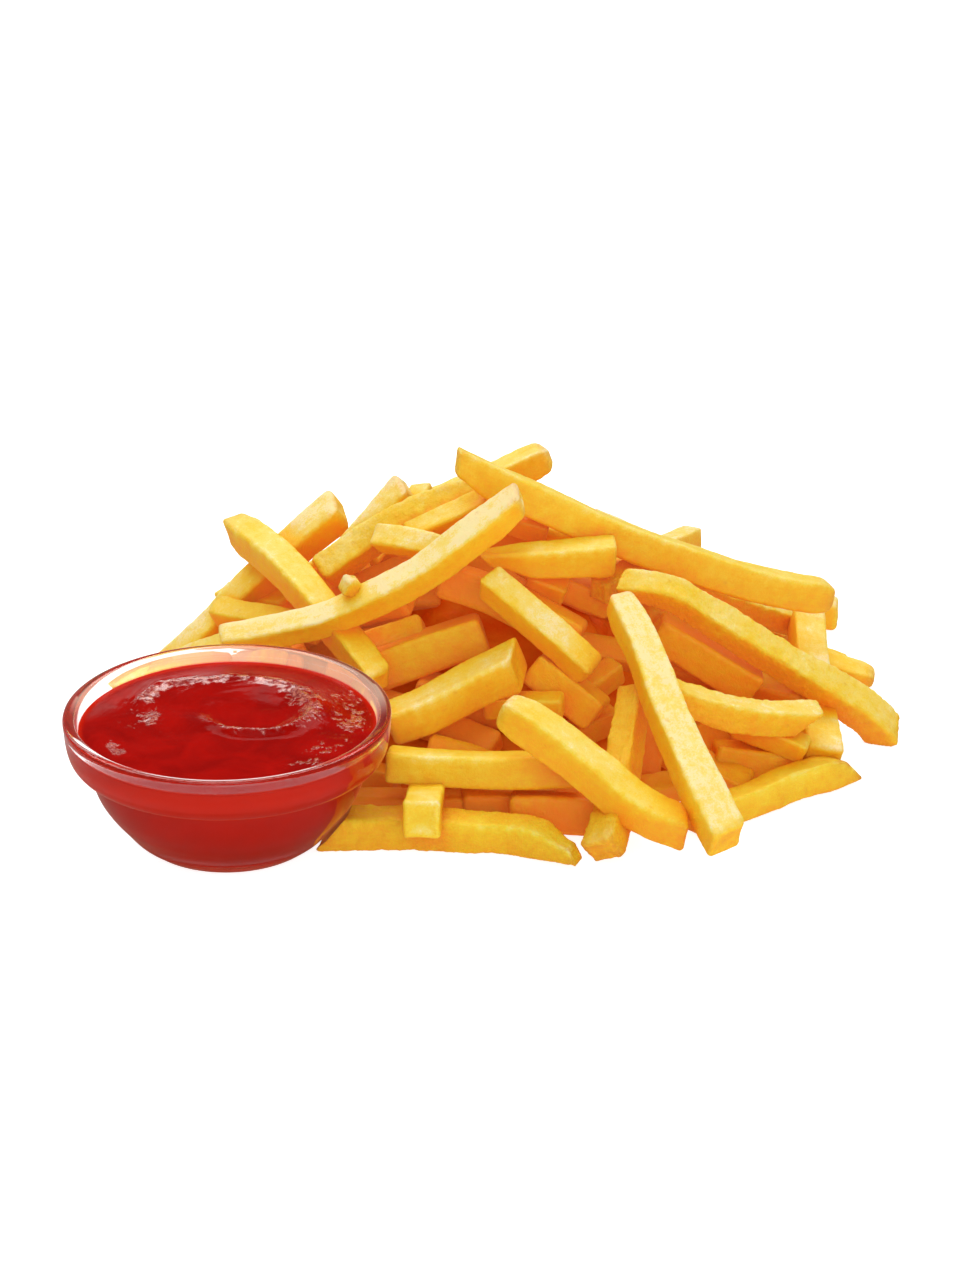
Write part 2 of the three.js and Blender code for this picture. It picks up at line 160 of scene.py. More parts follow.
# One row a fry: name, thickness at both ends, roll in degrees, rough skin or not, a tone from yellow (-1) to orange
# (1), partly the fry's own and partly painted shade, going past 1 for fries deep in shade, and the points that its
# middle line passes through.
FRIES = [
    ("b:F6", 7, 7, 19, False, -0.30, ((-113.4, 16.6, 3.3), (-97.2, 23, 3.3), (-80.9, 29.4, 3.4))),
    ("c:F38", 7, 7, -5, False, 0.00, ((38.2, 6.3, 47.6), (51, 24.3, 45.8), (64.2, 42.3, 44))),
    ("b:F37", 6.2, 6.2, 16, False, 0.30, ((88.1, 41.3, 12), (100, 42.3, 5.1), (111.7, 43.7, -0.6))),
    ("b:F36", 7.6, 7.8, 14, False, 0.35, ((90.8, 36.1, 10.3), (103.5, 33, 5.7), (119.2, 30, 1.4))),
    ("c:F14", 8.4, 8.9, 0, False, 0.20, ((-15.4, 33, 57.3), (1.3, 39.4, 62.1), (20.3, 46.6, 68.6))),
    ("c:F15", 7, 7, -18, False, 0.40, ((-22.8, 15.5, 57.2), (-19.7, 24.1, 59.7), (-16.5, 32.8, 62.5))),
    ("c:F8", 7.9, 8.1, 24, False, -0.40, ((-45.3, 11.8, 42.4), (-34, 17.1, 55.2), (-22.2, 22.5, 68.3))),
    ("b:F2b", 7, 7, 24, False, 0.00, ((-77.9, 43.7, 23.6), (-66.8, 27.5, 29), (-56, 11.4, 34.5))),
    ("b:F39", 10.1, 10.1, -1, False, 1.30, ((50.3, -10.4, 37.2), (65.1, -10.6, 27.7), (79.9, -10.8, 18.1))),
    ("r:F35", 7.1, 7.1, 15, True, -0.70, ((53.2, 11.1, 43), (73, 24, 30.6), (93.4, 36.9, 17.9))),
    ("c:F41b", 7.5, 7.5, 1, False, 0.40, ((18.5, -1.5, 49.1), (28.2, -2, 45.2), (38, -2.5, 41.3))),
    ("c:F41", 7, 7, 20, False, 0.40, ((13.4, -7.7, 51.8), (18.9, -8.6, 49.7), (24.4, -9.6, 47.6))),
    ("c:F43", 7, 7, 23, False, 0.50, ((6.8, 4.4, 65.6), (13.1, 4.1, 64), (19.3, 3.8, 62.4))),
    ("r:F42", 7, 7, 7, True, 0.50, ((33.7, -9.6, 48.2), (42.1, 0.7, 48.8), (50.7, 11, 49.5))),
    ("b:F34", 9.6, 11.2, -14, False, -0.60, ((97.9, 33.4, 20.8), (97.4, 0.8, 12), (97.7, -34.4, 5.7))),
    ("c:F4", 7.8, 10.2, 25, False, -0.35, ((-95, 21, 9.9), (-82.8, 21.3, 20.7), (-66.1, 23.6, 37.9), (-42, 28.6, 58.9))),
    ("r:F9", 8.6, 8.6, 40, True, 0.80, ((-46.7, 6.2, 47.1), (-25.1, 9.7, 61.4), (-1, 11.1, 71))),
    ("c:F10", 7, 7, 24, False, -0.05, ((-21.4, 2.9, 59.9), (-8.9, 3.2, 66), (3.6, 3.6, 72.2))),
    ("b:F5", 7, 7, 37, False, -0.10, ((-99.2, 15.7, 10.4), (-86.6, 8.1, 18.5), (-74.2, 0.4, 26.5))),
    ("c:F2", 7, 7, 30, False, 0.00, ((-79, 18.1, 30.3), (-62.9, 6.3, 32.3), (-47.1, -5.5, 34.3))),
    ("b:F28", 10.8, 10.8, -16, False, 2.20, ((8, -65.7, 5.5), (22, -66.3, 5.5), (34.3, -67.6, 5.5))),
    ("b:F50", 10.2, 10.2, -9, False, 0.40, ((66.2, -35.2, 7.3), (78.5, -33.9, 4.8), (91.3, -32.4, 2.8))),
    ("b:F48", 7, 7, 1, False, 0.40, ((22.5, -34.7, 12.2), (30.9, -30.6, 14.4), (39.4, -26.4, 16.5))),
    ("b:F47", 7, 7, 6, False, 0.20, ((25.5, -25.6, 20.6), (32.5, -20.6, 23.7), (39.6, -15.5, 26.7))),
    ("c:F45", 7, 7, 44, False, 0.00, ((-34.6, -13.4, 32.2), (-25.6, -13.3, 35.6), (-16.6, -13.3, 39.1))),
    ("c:F44", 11.1, 11.1, -12, False, 1.20, ((-31, -21.6, 28.9), (-15.1, -20.6, 34.5), (0.7, -19.5, 40))),
    ("b:F49", 7, 7, 16, False, 0.10, ((43.6, -55.3, 6.5), (52, -52.1, 6.5), (60.4, -49, 6.5))),
    ("b:F27", 7, 7, 1, False, 1.20, ((-38.6, -55.8, 3.3), (-17.1, -58.6, 4.2), (4.4, -61.3, 5.2))),
    ("b:F33", 7, 7, 7, False, 0.20, ((72.8, -31.5, 17.1), (82.9, -33.8, 13.4), (93.1, -36, 9.7))),
    ("b:F23", 10, 10, -15, False, 0.40, ((15, -27, 33.3), (24.2, -31.2, 27), (33.3, -35.4, 20.8))),
    ("c:F11", 7, 7, 45, False, -0.10, ((-30.6, 0.9, 61), (-18.7, -6.4, 62.1), (-7.3, -14.5, 61.6))),
    ("b:F20", 7, 7, 3, False, -0.20, ((0.7, -36.4, 25.1), (12.1, -38.1, 25.6), (23.4, -39.8, 26.1))),
    ("r:F26", 10.2, 9, 0, True, 0.30, ((-46.5, -75.5, 5.2), (-22.7, -74.6, 5), (-5.7, -76.1, 4.9), (11.5, -78.9, 4.8), (26.2, -88.7, 4.6))),
    ("a:F31", 7.6, 9.2, -8, False, 1.00, ((58.3, -68.1, 3.9), (73.2, -58.1, 4.2), (90.9, -43.8, 4.4), (104.9, -34.7, 4.7))),
    ("a:F12", 9.9, 9.9, -9, False, 0.90, ((-7.3, -2.6, 85.5), (6.5, -1.6, 77.4), (19.5, 0, 70.5), (32.6, 1.6, 63.6), (46.2, 3.4, 57.1), (60.1, 5.4, 50.9), (74.1, 7.5, 45.2), (88.5, 10, 40.3), (103.7, 13.1, 36.7))),
    ("r:F32", 8.1, 8.1, 6, True, 0.00, ((52.7, -44, 32.1), (64.9, -41.2, 26.2), (80.1, -37, 21), (93.3, -32.5, 18.8))),
    ("a:F3", 9.6, 8.2, 6, False, 0.60, ((-73.2, 29.6, 51.6), (-62, 14.4, 49.9), (-50.8, -2.3, 45), (-39, -20.1, 37.7), (-28.8, -37.1, 32))),
    ("a:F21", 10.3, 11.5, 3, False, -0.10, ((-26.5, -45.9, 23), (-14.6, -43.1, 27), (-1, -39.2, 33.1), (10.6, -36.3, 37.6))),
    ("a:F13", 7.7, 9.9, 3, False, -0.10, ((1.6, -15.6, 60.2), (20, -11.4, 59.2), (38.5, -7, 58.7))),
    ("a:F16", 8.4, 8.4, 26, False, 0.00, ((1.9, -23.1, 57.8), (11.2, -26.5, 50.6), (22.3, -30.7, 41.7), (31.4, -34.3, 34.2))),
    ("a:F24", 9.2, 9.2, -12, False, -0.30, ((-26.7, -61, 18.2), (-10, -62.2, 17.1), (10.2, -62.9, 17.2), (27, -63.5, 17.5))),
    ("r:F30", 7.6, 9.4, 24, True, 0.25, ((43.4, -37.3, 29.9), (41, -52.5, 21.5), (37.4, -70.6, 11.7), (33.1, -88.5, 4.8))),
    ("a:F1", 7.3, 9.1, 28, False, -0.70, ((-75, -14.8, 35.3), (-56.8, -17.7, 40), (-44.8, -19.2, 44), (-28.1, -20.5, 52.3), (-12.4, -20.9, 62.6), (-2.7, -20.8, 70.2), (11.2, -20.4, 82.2))),
    ("r:F17", 7.8, 10, 34, True, 0.65, ((39.7, -18, 53.8), (55.7, -14.5, 49.4), (65.1, -13.5, 42.7), (79.3, -13, 33), (93.6, -11.9, 23.5), (104.2, -10.4, 16), (112.8, -9.4, 9.4), (120.1, -7.7, 1.1))),
    ("a:F19", 9.9, 9.9, 7, False, 0.40, ((5.9, -66.4, 38.1), (19.2, -70.4, 30.5), (31.1, -74.8, 22.2), (42.6, -79.2, 13.9), (56.4, -82.1, 8.9))),
    ("a:F18", 8.6, 10.9, 2, False, -0.20, ((38.3, -25.6, 53.3), (44.5, -37.7, 45.4), (49.2, -50.2, 36.9), (55.7, -66.5, 26.1), (61, -78.7, 18.3), (67.4, -91.2, 9.6))),
    ("a:F25", 10.2, 10.4, 1, False, -0.35, ((-15.6, -65.9, 9.3), (-16.1, -76.7, 11.6), (-16.6, -87.4, 13.8))),
    ("k:f0", 8.5, 8, -2, False, -0.18, ((-38.7, 37.1, 40.9), (-59.1, 45.9, 23.7), (-79.4, 54.7, 6.5))),
    ("k:f1", 9, 9.5, -6, False, -0.17, ((-27.7, 37, 47.9), (-1.6, 46.5, 47.4), (24.6, 55.4, 45.6))),
    ("k:f2", 10.2, 10.5, -22, True, 0.21, ((-42.1, 82.6, 5.1), (-7.8, 71.8, 19), (26.5, 60.9, 32.6))),
    ("k:f3", 10, 10.2, -12, True, 0.43, ((-7.6, 86.9, 5.1), (21.6, 71.5, 17.6), (50.8, 55.8, 29.7))),
    ("k:f4", 9.9, 9.8, 3, False, -0.75, ((92.1, 65.8, 5), (68.4, 54.6, 24.4), (42.9, 41.8, 40.5))),
    ("k:f5", 10.1, 10, 35, True, -0.33, ((-22, 53.9, 38.8), (-38.6, 67.1, 22.6), (-54.7, 79.5, 5.1))),
    ("k:f6", 8.3, 7.8, -47, False, 0.34, ((10.9, 85.3, 5), (37.5, 75.1, 9.5), (64.1, 64.6, 13.2))),
    ("k:f7", 8.6, 8.3, 17, False, -0.82, ((-67.8, 67.2, 4.4), (-50.1, 55.5, 22.6), (-31.6, 43.2, 39.6))),
    ("k:f8", 8.4, 7.9, -13, False, -0.94, ((-32.1, 74.6, 18.6), (2.4, 61.7, 30.1), (36.9, 48.6, 41))),
    ("k:f9", 8.6, 8.4, 15, False, -0.91, ((31.9, 32, 52.1), (57.2, 37.6, 38), (81.9, 42.8, 22.9))),
    ("k:f10", 8.7, 8.2, -21, False, -0.00, ((-43.3, 69.4, 4.4), (-27.1, 59.9, 21.2), (-9.5, 48.5, 35.2))),
    ("k:f11", 8.3, 8.3, 5, False, 0.28, ((87.8, 53.1, 4.2), (64.1, 53.1, 13.2), (40.5, 53, 22.1))),
    ("k:f12", 9.1, 9.3, -51, True, -0.21, ((-52.1, -29.3, 24.8), (-70.3, -19.6, 14.7), (-88.7, -9.9, 4.8))),
    ("k:f13", 9.5, 9, -23, True, -0.47, ((-91, 39.8, 4.8), (-63.4, 32.4, 24.6), (-34.6, 24.4, 42.2))),
    ("k:f14", 8.2, 8.1, 18, False, 0.24, ((13.2, 64.1, 16.4), (-6.9, 75.2, 12), (-26.7, 85, 4.2))),
    ("k:f15", 9.2, 9.1, 46, False, -0.53, ((-78.3, 24.8, 14.6), (-68.8, 4.6, 24.1), (-58.2, -16.1, 31.3))),
    ("u:f16", 8.4, 8.6, -29, True, 0.37, ((45.4, 60.4, 6.5), (64.9, 48.7, 5), (84.5, 37.1, 4.2))),
    ("u:f17", 9.2, 9.4, 4, False, 0.11, ((96.5, 20.9, 4.7), (89.1, 0.1, 6.6), (81.7, -20.8, 8.1))),
    ("u:f18", 8.2, 8.3, 24, False, -0.23, ((-55.2, 11.2, 25.7), (-38.8, 1, 37.3), (-20.9, -9.4, 46.1))),
    ("u:f19", 9.4, 8.8, 13, False, 0.28, ((47, 13.8, 35.9), (66.9, 19.7, 20.9), (86.7, 25.6, 5.8))),
    ("u:f20", 9.3, 8.7, -41, False, -0.32, ((-24.5, 35.8, 33.4), (-14.9, 50.7, 22.9), (-5.6, 63.9, 10.2))),
    ("u:f21", 10, 9.4, 3, True, -0.06, ((33.8, 21.1, 46.4), (15.5, 17.4, 54.1), (-3.4, 13.1, 59.7))),
    ("u:f22", 9.5, 9.3, -11, False, -0.34, ((17.9, 45.2, 30.2), (39.7, 39.8, 26.8), (61.2, 34.2, 22.1))),
    ("u:f23", 8.5, 8.5, -9, True, -0.12, ((-19.4, 26.2, 47.5), (4.2, 32.3, 43.5), (27.5, 37.7, 37.6))),
    ("u:f24", 8.7, 8.8, 17, False, -0.21, ((-13.3, 7.2, 52.9), (-33.2, 13.5, 40), (-52.6, 19.7, 26.3))),
    ("u:f25", 8.2, 8.4, -17, False, 0.63, ((-36.2, -31.8, 23.5), (-58.5, -15.3, 16.3), (-80.4, 1.1, 8.3))),
    ("k:f26", 9.1, 8.9, 2, True, 0.16, ((-81.6, 46.1, 4.6), (-65.7, 37, 14.4), (-48.6, 26.9, 20.3))),
    ("u:f27", 8.8, 8.5, 22, True, 1.05, ((-15.8, -49.2, 15.9), (6.6, -52.6, 10.8), (28.9, -55.5, 4.5))),
    ("u:f28", 8.9, 9, -7, False, 0.64, ((-52, 40.2, 14.2), (-37.7, 54.4, 9.2), (-23.4, 68.7, 4.5))),
    ("u:f29", 9.4, 9.5, -52, False, -0.02, ((-9, 35, 37.2), (9.4, 48.3, 26), (27.6, 61.4, 14.5))),
    ("u:f30", 10.1, 9.8, 10, False, 0.03, ((28, -21.8, 38.6), (8.9, -15.5, 47), (-11, -7.9, 51.9))),
    ("u:f31", 9.2, 8.8, 23, False, -0.37, ((8.5, 27.5, 49.3), (34.1, 27.5, 40.2), (58.3, 26.7, 28.2))),
    ("u:f32", 8.3, 8.5, -16, False, 0.59, ((-52.8, -10.5, 27.6), (-61.5, 5.4, 18.8), (-70.2, 21.3, 9.8))),
    ("k:f33", 8.9, 8.7, 8, True, 0.83, ((-24, -49.2, 5.6), (-55.2, -36, 5.3), (-86.4, -23, 5.4))),
    ("u:f34", 9.8, 9.5, 5, True, -0.18, ((46.4, 1.6, 35.6), (64.6, 8.5, 24.4), (82.8, 15.5, 12.9))),
    ("u:f35", 9.7, 9.2, -5, False, -0.09, ((-29.9, 43, 18.2), (-23.1, 21.5, 31.6), (-16.2, -0.1, 44.7))),
    ("u:f36", 8.7, 8.8, -11, False, 0.36, ((-61.3, 22.8, 9.2), (-45.4, 9.4, 20.1), (-29.2, -4.1, 30.4))),
    ("u:f37", 8.8, 8.9, 13, False, 0.05, ((55.7, 37.1, 9.8), (38.5, 34.3, 21.3), (20.1, 30.6, 30.5))),
    ("u:f38", 8.4, 8.2, 12, False, 0.79, ((46.3, -44.6, 4.3), (48.8, -29, 12.1), (51.2, -13.1, 19.3))),
    ("u:f39", 8.5, 8.3, -35, False, -0.35, ((71.2, 1.9, 14.3), (49.8, -3.9, 23.3), (27.4, -9.5, 29.8))),
    ("u:f40", 9.5, 9.2, 22, True, -0.57, ((34.7, 8.8, 37.3), (18.1, 15.1, 42.3), (1.1, 21.1, 46))),
    ("u:f41", 8.5, 8.1, -11, False, 0.48, ((79.2, 31, 4.3), (65.4, 24.5, 15), (50.1, 17.2, 22.5))),
    ("u:f42", 8.5, 8.4, 23, False, 0.40, ((10.4, 61.9, 4.3), (-3.4, 48.7, 13.7), (-17.2, 35.8, 23.8))),
    ("u:f43", 8.2, 8.4, -33, False, 0.34, ((4.5, -42.8, 13.9), (-20.4, -29.5, 18.2), (-45.1, -15.3, 20))),
    ("u:f44", 8.3, 8.5, -12, False, -0.24, ((-25.7, 1, 35.7), (-33.5, 15.8, 28.2), (-40.6, 30.1, 19.4))),
    ("u:f45", 9.3, 9.7, -4, True, 0.47, ((16.2, -33.8, 18.8), (-1, -28.9, 21.4), (-18.2, -24, 23.8))),
    ("u:f46", 8.3, 8.5, 18, False, 0.96, ((-72.3, -10.6, 4.2), (-50.5, -24.2, 7.5), (-29, -37.9, 11.5))),
    ("u:f47", 8.9, 8.8, 51, True, -0.35, ((-4.4, 8.9, 51.5), (9.6, -3.1, 44.9), (22.6, -13.5, 34.7))),
    ("u:f48", 9.6, 9.3, 37, False, 1.03, ((57.5, -35.3, 5.8), (68.1, -15.6, 6.6), (78.1, 4.5, 4.8))),
    ("u:f49", 8.6, 8.3, 43, False, 0.43, ((45.9, 49.2, 6.9), (26.6, 40.6, 20.2), (6.7, 31.2, 31.7))),
    ("u:f50", 8.4, 8.6, 22, False, 0.18, ((-14.2, 60, 8.4), (-35.5, 46.4, 7.9), (-56.3, 32.1, 5))),
    ("u:f51", 10, 9.3, -3, False, 0.29, ((-5.6, 33.7, 26), (9.5, 51.7, 16.5), (24.3, 68.9, 5))),
    ("u:f52", 9.1, 8.7, 10, False, 0.69, ((-41.2, -7.6, 20.5), (-56.7, 1.2, 12.8), (-72, 9.9, 4.6))),
    ("u:f53", 8.5, 8.8, 3, False, 0.76, ((-7.7, -46.2, 6.9), (13.9, -44.4, 5.9), (35.4, -42.6, 4.6))),
    ("b:F54", 10, 10, 14, False, 0.60, ((69, 0.1, 20.9), (82.1, -2.2, 13.5), (95.3, -7, 12.5))),
    ("b:F55", 9, 9, 14, False, 0.70, ((-3.3, -49.5, 1.1), (11, -46.6, 2.8), (24.1, -45.5, 0.3))),
    ("b:F56", 9, 9, 14, False, 0.60, ((51.3, -33.7, 11.7), (64.1, -38.8, 5.3), (76.3, -43, 1))),
    ("b:F57", 9.6, 9.6, 3, False, 2.40, ((-5.5, -59.8, 5), (8.6, -59.1, 5), (21, -60.4, 5))),
    ("b:F58", 9.6, 9.6, 3, False, 1.80, ((60.3, -17.1, 5), (74.1, -16.5, 5), (87.5, -19.8, 5))),
    ("b:F59", 9, 8.6, -3, False, 0.00, ((36.9, 83.6, 4.6), (75, 79.6, 4.7), (111.8, 73.8, 4.6))),
    ("r:F60", 7.5, 8, 13, True, 0.90, ((42.9, 8.9, 52.6), (48.1, 6, 51), (53.3, 3.8, 48.4))),
    ("r:F61", 5, 4.5, 31, True, -0.40, ((-38.8, -19.8, 52.1), (-37.6, -19.8, 54.6), (-36.4, -19.8, 57))),
]

# How an end is cut, where it isn't a plain cut: (start of the row's line, end of it).
# edge: how far the rim of the cut is rounded; lean: how much further the top and the side reach;
# thin: (length, thickness left upwards, sideways, shift upwards, sideways); pit: hollow in the
# cut; brown: how dark the tip is fried.
PLAIN = dict(edge=1.5, lean=(0.0, 0.0), thin=None, pit=0.5, brown=0.35)
ENDS = {
    "F12": (dict(edge=1.3, lean=(0.45, 0.1), thin=(11, 0.80, 0.9, 0.6, 0.0), brown=0.55), dict(edge=3.4, lean=(0.0, 0.0), thin=(7, 0.86, 0.9, 0, 0), pit=0.2, brown=1.0)),
    "F14": (dict(), dict(edge=3.2, thin=(7, 0.85, 0.9, 0.3, 0), pit=0.2, brown=0.9)),
    "F8": (dict(), dict(edge=1.9, lean=(0.0, -0.3), brown=0.7)),
    "F3": (dict(edge=2.0, lean=(0.4, 0.25), thin=(8, 0.9, 0.75, 0.3, 0.3), brown=0.9), dict(edge=1.8, lean=(-0.1, 0.2))),
    "F13": (dict(edge=1.0, lean=(1.1, 0.1), thin=(14, 0.62, 0.62, 0.6, -0.5)), dict(edge=1.3, lean=(0.05, -0.2), pit=0.9)),
    "F32": (dict(), dict(edge=1.0, lean=(1.0, -0.1), pit=1.6, brown=0.3)),
    "F26": (dict(), dict(edge=1.2, lean=(-0.6, 0.3), thin=(15, 0.55, 0.66, -0.2, 0.5), brown=0.9)),
    "F27": (dict(), dict(edge=1.2, lean=(-0.9, 0.2), thin=(10, 0.7, 0.8, -0.8, 0.2), brown=0.3)),
    "F31": (dict(), dict(edge=1.2, lean=(-0.85, 0.1), thin=(9, 0.84, 0.84, -0.2, 0.0), brown=1.5)),
    "F17": (dict(edge=2.0, lean=(0.5, 0.5), brown=0.5), dict(edge=1.8, lean=(-0.1, 0.25), pit=0.6, brown=0.8)),
    "F1": (dict(edge=1.8, lean=(0.1, -0.2)), dict(edge=1.8, lean=(0.35, -0.25), thin=(16, 0.9, 0.72, 0.3, 0.2), pit=1.1, brown=0.7)),
    "F10": (dict(), dict(edge=1.6, lean=(0.3, 0.5))),
    "F19": (dict(edge=2.7, lean=(0.1, 0.1), thin=(8, 0.86, 0.86, 0, 0), brown=0.7), dict(edge=1.5, lean=(-0.1, 0.2), brown=0.6)),
    "F18": (dict(edge=2.8, lean=(0.1, 0.0), thin=(9, 0.84, 0.84, 0, 0), brown=0.6), dict(edge=1.6, lean=(-0.1, 0.15), pit=0.4, brown=0.15)),
    "F30": (dict(), dict(edge=1.6, lean=(0.2, 0.1), brown=0.9)),
    "F16": (dict(edge=1.4, lean=(0.4, 0.2)), dict(edge=2.2, lean=(0.1, 0.1), brown=0.8)),
    "F21": (dict(), dict(edge=1.2, lean=(0.0, -0.5), pit=0.6, brown=0.2)),
    "F24": (dict(edge=1.6), dict()),
    "F25": (dict(), dict(edge=1.2, lean=(0.0, 0.0), pit=0.7, brown=0.1)),
    "F34": (dict(edge=1.3, brown=0.5), dict()),
    "F36": (dict(), dict(edge=2.8, thin=(6, 0.85, 0.85, 0, 0), brown=0.9)),
    "F4": (dict(), dict(edge=2.2, lean=(0.1, -0.25), brown=0.35)),
}


def section(nf, nc):
    """Corner points of a rounded square, as factors for its straight half widths and its corner radius."""
    ax, ay, bx, by, e = [], [], [], [], []
    for q in range(4):
        c, s = round(math.cos(q * math.pi / 2)), round(math.sin(q * math.pi / 2))
        for i in range(nf):
            f = -1 + 2 * (i + 0.5) / nf
            ax.append(c - s * f); ay.append(s + c * f); bx.append(c); by.append(s)
            e.append(0.5 * float(smooth01((abs(f) - 0.5) / 0.5)))
        for i in range(nc):
            a = (i + 0.5) / nc * math.pi / 2 + q * math.pi / 2
            t = q * math.pi / 2 + math.pi / 4
            ax.append(round(math.cos(t) * math.sqrt(2))); ay.append(round(math.sin(t) * math.sqrt(2)))
            bx.append(math.cos(a)); by.append(math.sin(a))
            e.append(0.5 + 0.5 * math.sin((i + 0.5) / nc * math.pi))
    return [np.array(v, float) for v in (ax, ay, bx, by, e)]


def build_fry(row, nf, nc, step, cap_rings, index):
    name, w0, w1, roll, rough, tone_and_shade, points = row
    rng = np.random.RandomState(1000 + index)
    seed = index * 0.731 + 3.1
    at, L = spline(points)
    e0, e1 = [{**PLAIN, **e} for e in ENDS.get(name, ({}, {}))]
    ax, ay, bx, by, edge = section(nf, nc)
    n = len(ax)
    # rings: distance along, inset of the rim, size of the cap ring, lean of the normal
    s, inset, scale, beta = [], [], [], []

    def end_rings(e, sign, base):
        out = []
        for k in range(1, cap_rings + 1):
            q = k / cap_rings
            q = 1 - (1 - q) ** 1.25
            out.append((e["pit"] * (1 - q * q) ** 1.0, e["edge"], q, 90.0))
        m = 4
        for k in range(1, m + 1):
            ph = math.pi / 2 * k / m
            out.append((e["edge"] * (1 - math.cos(ph)), e["edge"] * (1 - math.sin(ph)), 1.0, 90.0 - math.degrees(ph)))
        return [(base + sign * a, b, c, sign * -1 * d) for a, b, c, d in out]

    start = end_rings(e0, 1, 0.0)
    stop = end_rings(e1, -1, L)[::-1]
    a, b = e0["edge"], L - e1["edge"]
    count = max(3, int(round((b - a) / step)))
    body = [(a + (b - a) * k / count, 0.0, 1.0, 0.0) for k in range(1, count)]
    rings = np.array(start + body + stop)
    S, INS, SC, BETA = rings.T
    R = len(S)
    # thickness along the fry, uneven by a few per cent and differently both ways
    t = S / L
    half = (w0 + (w1 - w0) * t) / 2
    line = np.stack([S / 17.0, np.full(R, seed), np.zeros(R)], 1)
    hx = half * (1.0 + 0.055 * noise(line, seed))
    hy = half * (1.0 + 0.055 * noise(line + 40, seed))
    ox, oy = np.zeros(R), np.zeros(R)
    for e, d in ((e0, S), (e1, L - S)):
        if e["thin"]:
            ln, kx, ky, sx, sy = e["thin"]
            f = 1 - smooth01(d / ln)
            hx = hx * (1 - (1 - kx) * f); hy = hy * (1 - (1 - ky) * f)
            ox += sx * f; oy += sy * f
    rc0 = half * (0.20 + 0.05 * rng.rand())
    inset = np.minimum(INS, np.minimum(hx, hy) * 0.8)
    gx, gy = (hx - inset) * SC, (hy - inset) * SC
    rc = np.minimum(np.maximum(rc0 - inset * 0.75, 0.3), np.minimum(hx, hy) * 0.92 - inset * 0.0) * SC
    rc = np.minimum(rc, np.minimum(gx, gy) * 0.95)
    X = ax * (gx - rc)[:, None] + bx * rc[:, None] + ox[:, None]
    Y = ay * (gy - rc)[:, None] + by * rc[:, None] + oy[:, None]
    # a slow twist
    tw = np.radians(4.0 * noise(np.stack([S / 40.0, np.full(R, 9.0), np.full(R, seed)], 1), seed))[:, None]
    X, Y = X * np.cos(tw) - Y * np.sin(tw), X * np.sin(tw) + Y * np.cos(tw)
    # the cut's slant
    along = S[:, None] + np.zeros_like(X)
    reach = 1.5 * half.mean() * 2
    for e, d, sign in ((e0, S, -1), (e1, L - S, 1)):
        f = (1 - smooth01(d / reach))[:, None]
        along = along + sign * f * (e["lean"][0] * X + e["lean"][1] * Y)
    p, v = at(along)
    a_all = unit(np.asarray(points[-1], float) - np.asarray(points[0], float))
    up = unit(np.array([0, 0, 1.0]) - a_all * a_all[2])
    side0 = np.cross(a_all, up)
    th = math.radians(roll)
    top_ref = math.cos(th) * up + math.sin(th) * side0
    top = unit(top_ref - v * (v @ top_ref)[..., None])
    side = np.cross(v, top)
    # the middle line wanders a little
    wob = 0.35 * noise(np.stack([along / 23.0, np.full_like(along, seed), np.full_like(along, 2.0)], -1), seed)
    wob2 = 0.35 * noise(np.stack([along / 23.0, np.full_like(along, seed), np.full_like(along, 8.0)], -1), seed)
    P = p + top * (X + wob)[..., None] + side * (Y + wob2)[..., None]
    be = np.radians(BETA)[:, None]
    N = (top * bx[None, :, None] + side * by[None, :, None]) * np.cos(be)[..., None] + v * np.sin(be)[..., None]
    # skin: slow lumps, small bumps, fine grain, hollow faces, blisters
    G = np.stack([along, X, Y], -1) + np.array([index * 37.0, index * 11.0, index * 5.0])
    k = 1.45 if rough else 1.0
    disp = (0.34 * noise(G / np.array([16.0, 10.0, 10.0]), seed) + 0.075 * k * noise(G / np.array([3.6, 2.8, 2.8]), seed + 1)
            + 0.045 * k * k * noise(G / 1.2, seed + 2))
    if rough:
        disp = disp + 0.30 * np.abs(noise(G / np.array([2.6, 1.9, 1.9]), seed + 5)) + 0.16 * np.abs(noise(G / 1.1, seed + 6)) - 0.12
    # the rims are chipped here and there
    chip = np.clip(noise(G / np.array([4.2, 1.9, 1.9]), seed + 7), 0, 1) + 0.6 * np.clip(noise(G / np.array([1.7, 1.1, 1.1]), seed + 8), 0, 1)
    disp = disp - (0.55 if rough else 0.30) * chip * edge[None, :] * np.cos(be)
    hollow = rng.uniform(-0.02, 0.26, 4)
    q = np.repeat(np.arange(4), nf + nc)
    face_f = np.clip(1 - (np.abs(np.where(q % 2 == 0, ay, ax))) ** 2, 0, 1)
    disp = disp - (hollow[q] * face_f)[None, :] * np.cos(be) ** 2
    bumps = int(L * (0.80 if rough else 0.18))
    if bumps:
        bs = rng.uniform(0, L, bumps); bq = rng.randint(0, n, bumps)
        br = rng.uniform(0.7, 1.7, bumps); bh = rng.uniform(0.08, 0.30 if rough else 0.18, bumps) * np.where(rng.rand(bumps) < 0.25, -0.8, 1)
        mid_x = ax[bq] * half.mean() * 0.66 + bx[bq] * half.mean() * 0.34
        mid_y = ay[bq] * half.mean() * 0.66 + by[bq] * half.mean() * 0.34
        for j in range(bumps):
            near = np.abs(S - bs[j]) < 4
            if near.any():
                d2 = ((along[near] - bs[j]) ** 2 + (X[near] - mid_x[j]) ** 2 + (Y[near] - mid_y[j]) ** 2) / br[j] ** 2
                disp[near] += bh[j] * np.exp(-d2)
    P = P + N * disp[..., None]
